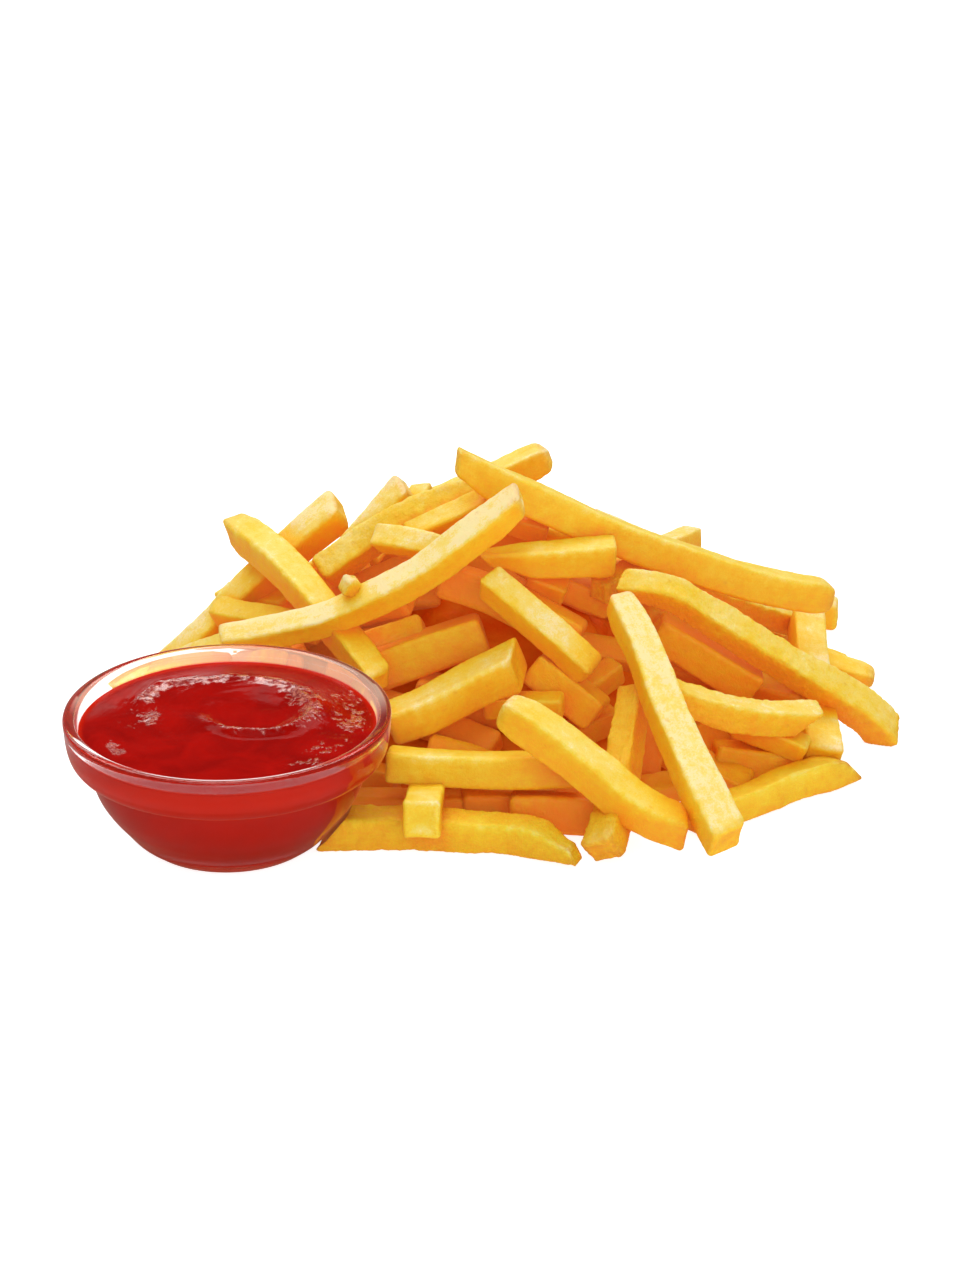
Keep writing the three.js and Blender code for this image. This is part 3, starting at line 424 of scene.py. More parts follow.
    # attributes
    dist0 = np.abs(along - 0.0); dist1 = np.abs(L - along)
    capness = np.abs(np.sin(be)) + 0 * X
    tip = np.maximum(e0["brown"] * np.exp(-np.maximum(S, 0)[:, None] / 3.2), e1["brown"] * np.exp(-np.maximum(L - S, 0)[:, None] / 3.2)) + 0 * X
    # rims of the cut and of the faces: the skin is painted paler there as a highlight, and the tips brown most there
    E = edge[None, :] * np.cos(be) + np.abs(np.sin(2 * be)) * 0.7
    centre0 = P[0].mean(0); centre1 = P[-1].mean(0)
    V = np.concatenate([P.reshape(-1, 3), centre0[None], centre1[None]])
    A = dict(
        edge=np.r_[E.ravel(), 0, 0],
        tip=np.r_[tip.ravel(), tip[0].mean(), tip[-1].mean()],
        cap=np.r_[capness.ravel(), 1, 1],
        tone_and_shade=np.full(R * n + 2, tone_and_shade),
        lemon=np.full(R * n + 2, LEMON.get(name, 0.0)),
        grain=np.concatenate([G.reshape(-1, 3), G[0].mean(0)[None], G[-1].mean(0)[None]]),
    )
    i = np.arange(n); j = (i + 1) % n
    quads = []
    for r in range(R - 1):
        o = r * n
        quads.append(np.stack([o + i, o + j, o + n + j, o + n + i], 1))
    quads = np.concatenate(quads)
    c0, c1 = R * n, R * n + 1
    tris = np.concatenate([np.stack([np.full(n, c0), j, i], 1), np.stack([np.full(n, c1), (R - 1) * n + i, (R - 1) * n + j], 1)])
    return V, quads, tris, A


BOWL_Z = [0, 4, 9, 14, 19, 25.3, 25.4, 30, 38.4]
BOWL_R = [24.9, 28.9, 32.6, 35.9, 38.1, 39.4, 43.4, 44.9, 45.7]


def clear_of_bowl(V):
    """Lifts points off the floor and out of the bowl's wall."""
    V = V.copy()
    V[:, 2] = np.maximum(V[:, 2], 0.12)
    d = V[:, :2] - BOWL
    r = np.linalg.norm(d, axis=1)
    need = np.interp(V[:, 2], BOWL_Z, BOWL_R) + 0.25
    hit = (V[:, 2] < 38.8) & (r < need)
    V[hit, :2] = BOWL + d[hit] / r[hit, None] * need[hit, None]
    return V


GROUPS = {"fries_front": (11, 5, 0.62, 7), "fries_middle": (11, 5, 0.66, 7), "fries_upper": (11, 5, 0.66, 7), "fries_rough": (11, 5, 0.62, 7), "fries_back": (7, 3, 1.1, 5), "fries_under": (3, 2, 2.2, 3)}
built = {g: [] for g in GROUPS}
for index, row in enumerate(FRIES):
    g = row[0].split(":")[0]
    key = {"a": "fries_front", "b": "fries_middle", "c": "fries_upper", "r": "fries_rough", "k": "fries_back", "u": "fries_under"}[g]
    nf, nc, step, caps = GROUPS[key]
    V, quads, tris, A = build_fry((row[0].split(":")[1],) + tuple(row[1:]), nf, nc, step, caps, index)
    built[key].append((clear_of_bowl(V), quads, tris, A))

joined = {}
for key, parts in built.items():
    off = np.cumsum([0] + [len(p[0]) for p in parts])
    joined[key] = (
        np.concatenate([p[0] for p in parts]),
        np.concatenate([p[1] + o for p, o in zip(parts, off)]),
        np.concatenate([p[2] + o for p, o in zip(parts, off)]),
        {k: np.concatenate([p[3][k] for p in parts]) for k in parts[0][3]},
    )

# ------------------------------------------------------------------ the core of the heap
CORE_AT = (4.0, 8.0)
core_rings, core_sides = 46, 120
CORE_LEVEL = 0.55


def core_mesh():
    V = []
    for k in range(core_rings + 1):
        lev = CORE_LEVEL * k / core_rings
        r = (CORE_LEVEL - lev) ** (1 / 1.25)
        for i in range(core_sides):
            a = 2 * math.pi * i / core_sides
            x, y = r * math.cos(a), r * math.sin(a)
            V.append([CORE_AT[0] + x * (112 if x < 0 else 116), CORE_AT[1] + y * (88 if y < 0 else 80), lev * 82])
    V = np.array(V)
    n = noise(V / 14.0, 3.0) * 2.6 + noise(V / np.array([9.0, 3.4, 3.4]), 5.0) * 1.6 + noise(V / 2.2, 6.0) * 0.4
    c = np.array([CORE_AT[0], CORE_AT[1], 0.0])
    V = V + unit(V - c) * n[:, None]
    V[:, 2] = np.maximum(V[:, 2], 0.3)
    V[:core_sides, 2] = 0.3
    # stays out of the bowl's room
    d = V[:, :2] - BOWL
    r = np.linalg.norm(d, axis=1)
    need = np.interp(V[:, 2], BOWL_Z, BOWL_R) + 1.5
    hit = (V[:, 2] < 40) & (r < need)
    V[hit, :2] = BOWL + d[hit] / r[hit, None] * need[hit, None]
    i = np.arange(core_sides); j = (i + 1) % core_sides
    quads = np.concatenate([np.stack([r * core_sides + i, r * core_sides + j, (r + 1) * core_sides + j, (r + 1) * core_sides + i], 1) for r in range(core_rings)])
    top = len(V)
    V = np.concatenate([V, V[-core_sides:].mean(0)[None], V[:core_sides].mean(0)[None]])
    last = core_rings * core_sides
    tris = np.concatenate([np.stack([last + i, last + j, np.full(core_sides, top)], 1), np.stack([j, i, np.full(core_sides, top + 1)], 1)])
    return V, quads, tris


core = core_mesh()

# ------------------------------------------------------------------ the bowl
OUTER = [[0, 1.6], [8, 1.6], [15.5, 1.5], [17.4, 1.1], [18.6, 0.3], [19.8, 0], [22.4, 0], [23.9, 0.5], [25.4, 1.6], [27.3, 3.1], [30.7, 7.2], [34.1, 11.6], [36.6, 16], [37.9, 20], [38.4, 23.2], [38.6, 24.7], [39.1, 25.35], [41.2, 25.5], [42.8, 26.2], [43.9, 27.6], [44.5, 29.4], [44.85, 31.4], [45.1, 34.2], [45.25, 36.2]]
RIM = [[45.35, 37.0], [45.2, 37.75], [44.7, 38.2], [43.9, 38.4], [43.0, 38.32], [42.3, 38.0], [41.9, 37.4]]
INNER = [[41.5, 36.2], [41.0, 33], [40.2, 29.6], [38.9, 27.6], [37.0, 26.0], [35.5, 24.2], [34.4, 21], [33, 17.2], [30.6, 12.9], [26.8, 8.8], [20.8, 5.4], [11, 4.2], [0, 4.0]]


def smooth_profile(points, step):
    at, L = spline([[r, 0, z] for r, z in points])
    s = np.linspace(0, L, max(2, int(L / step)))
    p, _ = at(s)
    return np.stack([np.maximum(p[:, 0], 0), p[:, 2]], 1)


def turn(profile, sides, closed_ends=True):
    """A lathe about the bowl's axis of a profile that starts and ends on the axis."""
    prof = np.asarray(profile)
    inner = prof[1:-1]
    a = np.arange(sides) / sides * 2 * math.pi
    V = np.stack([inner[:, None, 0] * np.cos(a), inner[:, None, 0] * np.sin(a), inner[:, None, 1] + 0 * a], -1).reshape(-1, 3)
    i = np.arange(sides); j = (i + 1) % sides
    quads = np.concatenate([np.stack([r * sides + i, r * sides + j, (r + 1) * sides + j, (r + 1) * sides + i], 1) for r in range(len(inner) - 1)])
    V = np.concatenate([V, [[0, 0, prof[0][1]], [0, 0, prof[-1][1]]]])
    f, l = len(V) - 2, len(V) - 1
    last = (len(inner) - 1) * sides
    tris = np.concatenate([np.stack([np.full(sides, f), j, i], 1), np.stack([last + i, last + j, np.full(sides, l)], 1)])
    V[:, 0] += BOWL[0] - 0.35; V[:, 1] += BOWL[1] + 0.6
    return V, quads, tris


bowl_profile = smooth_profile(OUTER + RIM + INNER, 0.55)
bowl_profile[0, 0] = bowl_profile[-1, 0] = 0
bowl = turn(bowl_profile, 224)

# ------------------------------------------------------------------ the ketchup
LEVEL, MOUND, RIDGE, CRATER = 33.2, 0.5, 1.9, 1.7
SWIRL = (5.5, 10.0)
SPIRAL_A = [-180, -149, -90, -45, 0, 31, 57, 98, 124, 147, 172, 180]
SPIRAL_R = [12, 13, 15, 17, 18, 17.5, 18.5, 21, 24, 30.5, 31, 31]
# ragged, grainy spots, which also carry a painted highlight: x, y, half widths, strength
TORN_AND_GLINT = ((34.2, 3.0, 4.6, 11.0, 1.0), (26.3, -14.9, 4.0, 4.6, 1.0), (22.9, -23.5, 6.5, 2.8, 0.9), (-21.4, 5.9, 2.2, 4.6, 1.5), (-31.1, -12.0, 1.8, 2.6, 1.5), (-29.0, -16.0, 2.2, 3.0, 1.2), (-27.0, 4.0, 9.0, 9.0, 0.40), (30.0, 17.0, 6.0, 8.0, 0.5))


def ridge_parts(x, y):
    dx, dy = x - SWIRL[0], y - SWIRL[1]
    rho, deg = np.hypot(dx, dy), np.degrees(np.arctan2(dy, dx))
    off = rho - np.interp(deg, SPIRAL_A, SPIRAL_R)
    on = np.minimum(np.clip((deg + 180) / 50, 0, 1), np.clip((180 - deg) / 14, 0, 1))
    width = np.interp(deg, [-180, -60, -20, 30, 60, 100, 180], [1.6, 1.7, 3.0, 3.6, 2.6, 2.2, 2.6])
    torn_glint = sum(k * np.exp(-(((x - cx) / rx) ** 2) - ((y - cy) / ry) ** 2) for cx, cy, rx, ry, k in TORN_AND_GLINT)
    return rho, deg, off, on, width, torn_glint


# Where the ketchup is glossy; a pale pink highlight is also painted into its colour there.
def ketchup_wet_and_gleam(x, y):
    rho, deg, off, on, width, torn_glint = ridge_parts(x, y)
    P = np.stack([x, y, 0 * x], -1)
    rim = on * np.exp(-(((off + 0.3 * width) / (1.15 * width)) ** 2))
    w = np.clip(rim + 0.8 * torn_glint, 0, 1.1) * 0.85 + 0.55 * noise(P / np.array([3.4, 2.2, 2.2]), 21.0) + 0.45 * noise(P / 1.0, 22.0)
    return smooth01((w - 0.50) / 0.30) * np.clip(3 * (rim + torn_glint), 0, 1)


def ketchup_top(x, y, edge):
    rho, deg, off, on, width, torn_glint = ridge_parts(x, y)
    fade = 1 - edge**8
    amount = np.interp(deg, [-180, -149, -90, 0, 45, 80, 124, 147, 180], [0.3, 0.7, 1.0, 1.0, 0.8, 0.45, 0.5, 0.8, 0.5])
    ridge = RIDGE * amount * on * np.exp(-((off / np.where(off < 0, 0.75 * width, 1.5 * width)) ** 2))
    steep = np.interp(deg, [-180, -140, -90, 20, 60, 110, 180], [4.0, 8.0, 9.5, 9.5, 6.0, 2.0, 4.0])
    wide = np.interp(deg, [-180, -140, -90, 20, 60, 110, 180], [5.0, -3.5, -5.7, -5.7, 0.0, 7.0, 5.0])
    z = LEVEL + MOUND * (1 - edge * edge) + fade * (ridge - CRATER * (1 - smooth01((rho - steep) / (15.0 - 0.4 * steep + wide))))
    # it stands higher at the far side
    z = z + 0.35 * smooth01((y + 5) / 36) * smooth01((x + 40) / 40)
    P = np.stack([x, y, 0 * x], -1)
    # drag marks of the spoon, round the hollow, strongest by the ridge
    by_ridge = np.exp(-((off / (1.5 * width)) ** 2)) * on
    turnwise = np.stack([rho / 1.7, deg / 40.0, 0 * x], -1)
    drag = 0.18 * noise(turnwise, 1.0) + 0.20 * noise(turnwise * np.array([0.45, 0.8, 1]), 2.0)
    calm = 1 - 0.75 * smooth01((-y - 4) / 12) * smooth01((x + 26) / 14)
    z = z + fade * smooth01((rho - 8) / 8) * drag * (0.35 + 1.0 * by_ridge) * calm
    lumps = np.clip(torn_glint + 0.8 * by_ridge, 0, 1.3)
    z = z + fade * (0.28 * noise(P / 11.0, 3.0) * calm + (0.015 + 0.17 * lumps) * noise(P / 2.0, 4.0) + (0.006 + 0.09 * lumps) * noise(P / 0.85, 5.0))
    # it clings to the glass
    return z + 0.7 * np.exp(-((1 - edge) * 41) / 0.9)


def ketchup_mesh(rings=150, sides=320):
    edge_r = np.interp(LEVEL + 1.0, [33, 36.2], [41.0, 41.5]) + 0.22
    a = np.arange(sides) / sides * 2 * math.pi
    rr = edge_r * np.sqrt(np.linspace(0, 1, rings + 1)[1:]) ** 1.15
    rr[-1] = edge_r
    x, y = rr[:, None] * np.cos(a), rr[:, None] * np.sin(a)
    z = ketchup_top(x, y, (rr / edge_r)[:, None] + 0 * x)
    top = np.stack([x, y, z], -1)
    wall = [p for p in smooth_profile([[r, z] for r, z in INNER], 0.8) if p[1] < LEVEL + 0.2]
    wall = np.array(wall)
    # a little into the glass all the way down
    t = np.gradient(wall, axis=0); t = t / np.linalg.norm(t, axis=1)[:, None]
    out = np.stack([-t[:, 1], t[:, 0]], 1)
    wall = wall + np.abs(out) * np.array([1, -1]) * 0.22
    wall = wall[wall[:, 0] > 0.5]
    low = np.stack([wall[:, None, 0] * np.cos(a), wall[:, None, 0] * np.sin(a), wall[:, None, 1] + 0 * a], -1)
    V = np.concatenate([top.reshape(-1, 3), low.reshape(-1, 3)])
    R = rings + len(wall)
    i = np.arange(sides); j = (i + 1) % sides
    quads = np.concatenate([np.stack([r * sides + j, r * sides + i, (r + 1) * sides + i, (r + 1) * sides + j], 1)[:, ::-1] for r in range(R - 1)])
    V = np.concatenate([V, [[0, 0, float(ketchup_top(np.zeros(1), np.zeros(1), np.zeros(1))[0])], [0, 0, wall[-1][1]]]])
    f, l = len(V) - 2, len(V) - 1
    last = (R - 1) * sides
    tris = np.concatenate([np.stack([np.full(sides, f), i, j], 1), np.stack([last + j, last + i, np.full(sides, l)], 1)])
    quads = quads[:, ::-1]
    wall_of = np.interp(V[:, 2], [z for _, z in INNER[::-1]], [r for r, _ in INNER[::-1]])
    # painted light: the ketchup against the glass is painted brighter orange-red, most of all above the step in the
    # wall
    painted_wall_light = smooth01(1 - (wall_of - np.hypot(V[:, 0], V[:, 1])) / 1.6) * (0.55 + 0.45 * smooth01((V[:, 2] - 24.0) / 2.5))
    wet_and_gleam = ketchup_wet_and_gleam(V[:, 0], V[:, 1]) * (np.arange(len(V)) < rings * sides)
    V[:, 0] += BOWL[0] - 0.35; V[:, 1] += BOWL[1] + 0.6
    return V, quads, tris, painted_wall_light, wet_and_gleam


*ketchup, ketchup_wall_light, ketchup_gleam = ketchup_mesh()

# ------------------------------------------------------------------ how much sky light each point gets, painted into the fries' colour as shade
def shade_tree():
    V, F, off = [], [], 0
    for key in ("fries_front", "fries_middle", "fries_upper", "fries_rough", "fries_back", "fries_under"):
        v, q, t, _ = joined[key]
        V.append(v); F += (q + off).tolist(); F += (t + off).tolist(); off += len(v)
    for v, q, t in (core, ketchup):
        V.append(v); F += (q + off).tolist(); F += (t + off).tolist(); off += len(v)
    return BVHTree.FromPolygons(np.concatenate(V).tolist(), F)


def sky_light(V, N, tree, rays=20, reach=60.0, every=4):
    """How much of an even sky each point gets, 1 for an unshaded level face, about half for an unshaded upright one,
    less where other fries stand over it; the fries' colour paints shade from it. Worked out at every few points and
    spread to the rest."""
    rng = np.random.RandomState(5)
    d = rng.normal(size=(rays, 3)); d /= np.linalg.norm(d, axis=1)[:, None]
    out = np.zeros(len(V))
    pick = np.arange(0, len(V), every)
    dirs = [Vector(x) for x in d]
    for i in pick:
        nrm = Vector(N[i]); o = Vector(V[i]) + nrm * 0.25
        s = 0.0
        for x in dirs:
            y = x + nrm * 1.02
            y.normalize()
            if y.z < 0:
                s += 0.12 if tree.ray_cast(o, y, 12.0)[0] is None else 0.0
            elif tree.ray_cast(o, y, reach)[0] is None:
                s += 1
        out[i] = s / rays
    return np.interp(np.arange(len(V)), pick, out[pick])


def mesh_normals(V, quads, tris):
    N = np.zeros_like(V)
    a, b, c, d = (V[quads[:, k]] for k in range(4))
    f = np.cross(c - a, d - b)
    for k in range(4):
        np.add.at(N, quads[:, k], f)
    f = np.cross(V[tris[:, 1]] - V[tris[:, 0]], V[tris[:, 2]] - V[tris[:, 0]])
    for k in range(3):
        np.add.at(N, tris[:, k], f)
    return unit(N)


tree = shade_tree()
fry_pieces = {}
for key, (V, quads, tris, A) in joined.items():
    N = mesh_normals(V, quads, tris)
    every = {"fries_front": 7, "fries_middle": 7, "fries_upper": 7, "fries_rough": 7, "fries_back": 5, "fries_under": 5}[key]
    A["painted_sky_light"] = sky_light(V, N, tree, every=every)
    # smooth the samples along the mesh
    near = np.concatenate([quads[:, [0, 1]], quads[:, [1, 2]], tris[:, [0, 1]]])
    for _ in range(6):
        acc = A["painted_sky_light"].copy(); cnt = np.ones(len(V))
        np.add.at(acc, near[:, 0], A["painted_sky_light"][near[:, 1]]); np.add.at(cnt, near[:, 0], 1)
        np.add.at(acc, near[:, 1], A["painted_sky_light"][near[:, 0]]); np.add.at(cnt, near[:, 1], 1)
        A["painted_sky_light"] = acc / cnt
    attrs = {k: ("FLOAT", v) for k, v in A.items() if k != "grain"}
    attrs["grain"] = ("FLOAT_VECTOR", A["grain"])
    fry_pieces[key] = mesh_object(key, V, [quads, tris], attrs)

core_ob = mesh_object("heap_core_painted_shade", core[0], [core[1], core[2]])
away = np.hypot(bowl[0][:, 0] - BOWL[0], bowl[0][:, 1] - BOWL[1])
# painted light: a beige glow on the inner back wall just above the ketchup, standing in for the pale fries seen through
# the glass
back_wall_glow = smooth01((bowl[0][:, 2] - 33.9) / 0.8) * (away < 43.6) * smooth01((bowl[0][:, 1] - BOWL[1] + 4) / 16)
bowl_ob = mesh_object("bowl_glass", bowl[0], [bowl[1], bowl[2]], {"back_wall_glow": ("FLOAT", back_wall_glow), "lip": ("FLOAT", smooth01((bowl[0][:, 2] - 31.5) / 3.0))})
ketchup_ob = mesh_object("ketchup_swirl", ketchup[0], [ketchup[1], ketchup[2]], {"painted_wall_light": ("FLOAT", ketchup_wall_light), "wet_and_gleam": ("FLOAT", ketchup_gleam)})

# ------------------------------------------------------------------ materials
def srgb(r, g, b):
    out = []
    for c in (r, g, b):
        c = c / 255.0
        out.append(c / 12.92 if c <= 0.04045 else ((c + 0.055) / 1.055) ** 2.4)
    return (*out, 1.0)


class Nodes:
    def __init__(self, name):
        self.m = bpy.data.materials.new(name)
        self.m.use_nodes = True
        self.t = self.m.node_tree
        self.t.nodes.clear()
        self.out = self.t.nodes.new("ShaderNodeOutputMaterial")

    def new(self, kind, **props):
        n = self.t.nodes.new(kind)
        for k, v in props.items():
            setattr(n, k, v)
        return n

    def link(self, a, b):
        self.t.links.new(a, b)

    def attr(self, name):
        n = self.new("ShaderNodeAttribute", attribute_name=name)
        return n

    def noise(self, vec, scale, detail=3.0, rough=0.55, dist=0.0):
        n = self.new("ShaderNodeTexNoise")
        n.inputs["Scale"].default_value = scale
        n.inputs["Detail"].default_value = detail
        n.inputs["Roughness"].default_value = rough
        n.inputs["Distortion"].default_value = dist
        self.link(vec, n.inputs["Vector"])
        return n.outputs["Fac"]

    def math(self, op, a, b=None, clamp=False):
        n = self.new("ShaderNodeMath", operation=op, use_clamp=clamp)
        for i, x in enumerate((a, b)):
            if x is None:
                continue
            if isinstance(x, (int, float)):
                n.inputs[i].default_value = x
            else:
                self.link(x, n.inputs[i])
        return n.outputs[0]

    def remap(self, x, a, b, c, d):
        n = self.new("ShaderNodeMapRange")
        n.inputs["From Min"].default_value = a
        n.inputs["From Max"].default_value = b
        n.inputs["To Min"].default_value = c
        n.inputs["To Max"].default_value = d
        self.link(x, n.inputs["Value"])
        return n.outputs["Result"]

    def mix(self, fac, a, b, kind="MIX"):
        n = self.new("ShaderNodeMix", data_type="RGBA", blend_type=kind)
        for sock, x in ((n.inputs["Factor"], fac), (n.inputs["A"], a), (n.inputs["B"], b)):
            pass
        ins = {"Factor": n.inputs[0], "A": n.inputs[6], "B": n.inputs[7]}
        for key, x in (("Factor", fac), ("A", a), ("B", b)):
            if isinstance(x, (int, float)):
                ins[key].default_value = x
            elif isinstance(x, tuple):
                ins[key].default_value = x
            else:
                self.link(x, ins[key])
        return n.outputs[2]

    def principled(self, **values):
        n = self.new("ShaderNodeBsdfPrincipled")
        for k, v in values.items():
            n.inputs[k].default_value = v
        self.link(n.outputs["BSDF"], self.out.inputs["Surface"])
        return n

    def bump(self, height, strength, distance, normal=None):
        n = self.new("ShaderNodeBump")
        n.inputs["Strength"].default_value = strength
        n.inputs["Distance"].default_value = distance
        self.link(height, n.inputs["Height"])
        if normal is not None:
            self.link(normal, n.inputs["Normal"])
        return n.outputs["Normal"]


def ramp(n, x, stops):
    r = n.new("ShaderNodeValToRGB")
    e = r.color_ramp.elements
    while len(e) < len(stops):
        e.new(0.5)
    for k, (pos, col) in enumerate(stops):
        e[k].position = pos
        e[k].color = col
    n.link(x, r.inputs["Fac"])
    return r.outputs["Color"]


# Skin colours from deep in painted shade (0) to full sky light (1): the shade of the heap is painted into the skin.
SKIN_AND_SHADE = [(0.0, srgb(252, 146, 28)), (0.18, srgb(249, 156, 24)), (0.36, srgb(247, 173, 22)), (0.54, srgb(247, 192, 28)), (0.72, srgb(249, 208, 52)), (0.90, srgb(252, 222, 112)), (1.0, srgb(255, 233, 168))]


def fry_material(name, rough_skin=False, inner_shade=0.0):
    """Fried skin with the heap's shade painted in: pale yellow where sky light reaches it, golden on the flanks and
    deep orange where fries shade each other; rims painted paler as a highlight, a painted orange glow deep between
    fries, and all of it darker for fries inside the heap; with patches, fine grain and browner tips, most of all on
    their rims."""
    n = Nodes(name)
    g = n.new("ShaderNodeAttribute", attribute_name="grain").outputs["Vector"]
    edge, tip = n.attr("edge").outputs["Fac"], n.attr("tip").outputs["Fac"]
    tone_and_shade, sky_lit = n.attr("tone_and_shade").outputs["Fac"], n.attr("painted_sky_light").outputs["Fac"]
    cap = n.attr("cap").outputs["Fac"]
    patch = n.noise(g, 0.085, 3.0, 0.6, 0.4)
    mottle = n.noise(g, 0.42, 4.0, 0.62, 0.3)
    fine = n.noise(g, 1.9, 4.0, 0.65, 0.0)
    stretch = n.new("ShaderNodeMapping")
    stretch.inputs["Scale"].default_value = (0.10, 0.75, 0.75)
    n.link(g, stretch.inputs["Vector"])
    streak = n.noise(stretch.outputs["Vector"], 1.0, 3.0, 0.6, 0.2)
    # painted shade: the skin is paler where sky light reaches it and deeper orange where fries shade each other
    u = n.math("ADD", n.remap(sky_lit, 0.04, 0.92, 0.08, 0.94), n.remap(patch, 0.36, 0.66, 0.06, -0.08))
    u = n.math("ADD", u, n.remap(mottle, 0.34, 0.68, 0.05, -0.07))
    u = n.math("ADD", u, n.remap(fine, 0.34, 0.68, 0.06, -0.07))
    u = n.math("ADD", u, n.remap(streak, 0.35, 0.68, 0.025, -0.03))
    # the fry's own tone, with painted shade on fries that lie deep in shade
    u = n.math("ADD", u, n.remap(tone_and_shade, -1.0, 3.0, 0.09, -0.41))
    # painted highlight: the rims are painted paler, as if catching the light
    u = n.math("ADD", u, n.math("MULTIPLY", edge, 0.09))
    u = n.math("ADD", u, n.math("MULTIPLY", cap, 0.06))
    # painted shade: fries inside the heap are made darker all over
    u = n.math("ADD", u, -inner_shade, clamp=True)
    colour = ramp(n, u, SKIN_AND_SHADE)
    # fried tips and specks
    burn = n.math("MULTIPLY", tip, n.remap(mottle, 0.30, 0.62, 0.15, 1.0), clamp=True)
    burn = n.math("MULTIPLY", burn, n.math("ADD", n.math("MULTIPLY", edge, 0.45), 0.35), clamp=True)
    colour = n.mix(burn, colour, srgb(206, 118, 28))
    speck = n.new("ShaderNodeTexVoronoi", feature="F1")
    speck.inputs["Scale"].default_value = 0.16
    n.link(g, speck.inputs["Vector"])
    dots = n.math("MULTIPLY", n.remap(speck.outputs["Distance"], 0.05, 0.17, 0.30, 0.0), n.remap(mottle, 0.45, 0.65, 0.0, 1.0), clamp=True)
    colour = n.mix(dots, colour, srgb(214, 132, 44))
    p = n.principled(**{"Subsurface Weight": 0.30, "Subsurface Scale": 0.0035, "Subsurface Radius": (1.0, 0.42, 0.12), "IOR": 1.42, "Specular IOR Level": 0.42})
    p.subsurface_method = "RANDOM_WALK"
    colour = n.mix(n.attr("lemon").outputs["Fac"], colour, n.mix(1.0, colour, (0.90, 1.10, 0.72, 1.0), "MULTIPLY"))
    n.link(colour, p.inputs["Base Color"])
    # painted glow: an orange emission deep between fries, less so at the foot of the heap, standing in for the warm
    # light the fries pass on to each other
    up = n.new("ShaderNodeSeparateXYZ")
    n.link(n.new("ShaderNodeTexCoord").outputs["Object"], up.inputs["Vector"])
    p.inputs["Emission Color"].default_value = (1.0, 0.50, 0.13, 1.0)
    n.link(n.math("MULTIPLY", n.remap(sky_lit, 0.05, 0.62, 0.065, 0.0), n.remap(up.outputs["Z"], 0.010, 0.030, 0.1, 1.0)), p.inputs["Emission Strength"])
    n.m.cycles.emission_sampling = "NONE"
    n.link(n.math("ADD", n.remap(mottle, 0.3, 0.7, 0.56, 0.40), n.remap(fine, 0.3, 0.7, 0.06, -0.05)), p.inputs["Roughness"])
    # skin: fine grain, tiny bubbles, streaks along the cut
    bubbles = n.new("ShaderNodeTexVoronoi", feature="SMOOTH_F1")
    bubbles.inputs["Scale"].default_value = 0.85
    n.link(g, bubbles.inputs["Vector"])
    h = n.math("ADD", n.math("MULTIPLY", fine, 0.55), n.math("MULTIPLY", bubbles.outputs["Distance"], -0.35 if rough_skin else -0.16))
    h = n.math("ADD", h, n.math("MULTIPLY", streak, 0.12))
    n.link(n.bump(h, 0.85 if rough_skin else 0.6, 0.0007), p.inputs["Normal"])
    return n.m


def core_shade_material():
    n = Nodes("heap_core_painted_shade")
    co = n.new("ShaderNodeTexCoord").outputs["Object"]
    a, b = n.noise(co, 70.0, 4.0, 0.6, 0.5), n.noise(co, 500.0, 3.0, 0.6)
    # painted shade: the core, seen through the gaps between fries, is coloured the deep orange of fries in shade
    c = n.mix(n.remap(a, 0.35, 0.68, 0.0, 1.0), srgb(244, 112, 10), srgb(248, 146, 24))
    p = n.principled(**{"Subsurface Weight": 0.0, "Specular IOR Level": 0.2})
    n.link(c, p.inputs["Base Color"])
    n.link(n.remap(b, 0.3, 0.7, 0.5, 0.75), p.inputs["Roughness"])
    n.link(n.bump(b, 0.5, 0.0006), p.inputs["Normal"])
    return n.m


def glass_material():
    n = Nodes("clear_glass")
    co = n.new("ShaderNodeTexCoord").outputs["Object"]
    wave = n.noise(co, 60.0, 2.0, 0.5, 0.0)
    p = n.principled(**{"Base Color": (0.985, 0.975, 0.985, 1.0), "Transmission Weight": 1.0, "IOR": 1.42, "Roughness": 0.0, "Specular IOR Level": 0.5})
    # painted sheen: a pale, milky glow emitted where the glass is seen edge on, orange-red low on the wall and pink by
    # the rim
    facing = n.new("ShaderNodeLayerWeight")
    facing.inputs["Blend"].default_value = 0.35
    lip = n.attr("lip").outputs["Fac"]
    edge_on = n.math("MULTIPLY", n.math("POWER", facing.outputs["Facing"], 3.6), n.remap(lip, 0.0, 1.0, 0.30, 0.32))
    # adds the painted beige glow on the inner back wall above the ketchup
    n.link(n.math("ADD", edge_on, n.math("MULTIPLY", n.attr("back_wall_glow").outputs["Fac"], 0.36)), p.inputs["Emission Strength"])
    tint = n.mix(lip, (0.95, 0.26, 0.10, 1.0), (0.95, 0.76, 0.70, 1.0))
    tint = n.mix(n.attr("back_wall_glow").outputs["Fac"], tint, (0.95, 0.88, 0.66, 1.0))
    n.link(tint, p.inputs["Emission Color"])
    n.m.cycles.emission_sampling = "NONE"
    n.link(n.bump(wave, 0.10, 0.0004), p.inputs["Normal"])
    return n.m


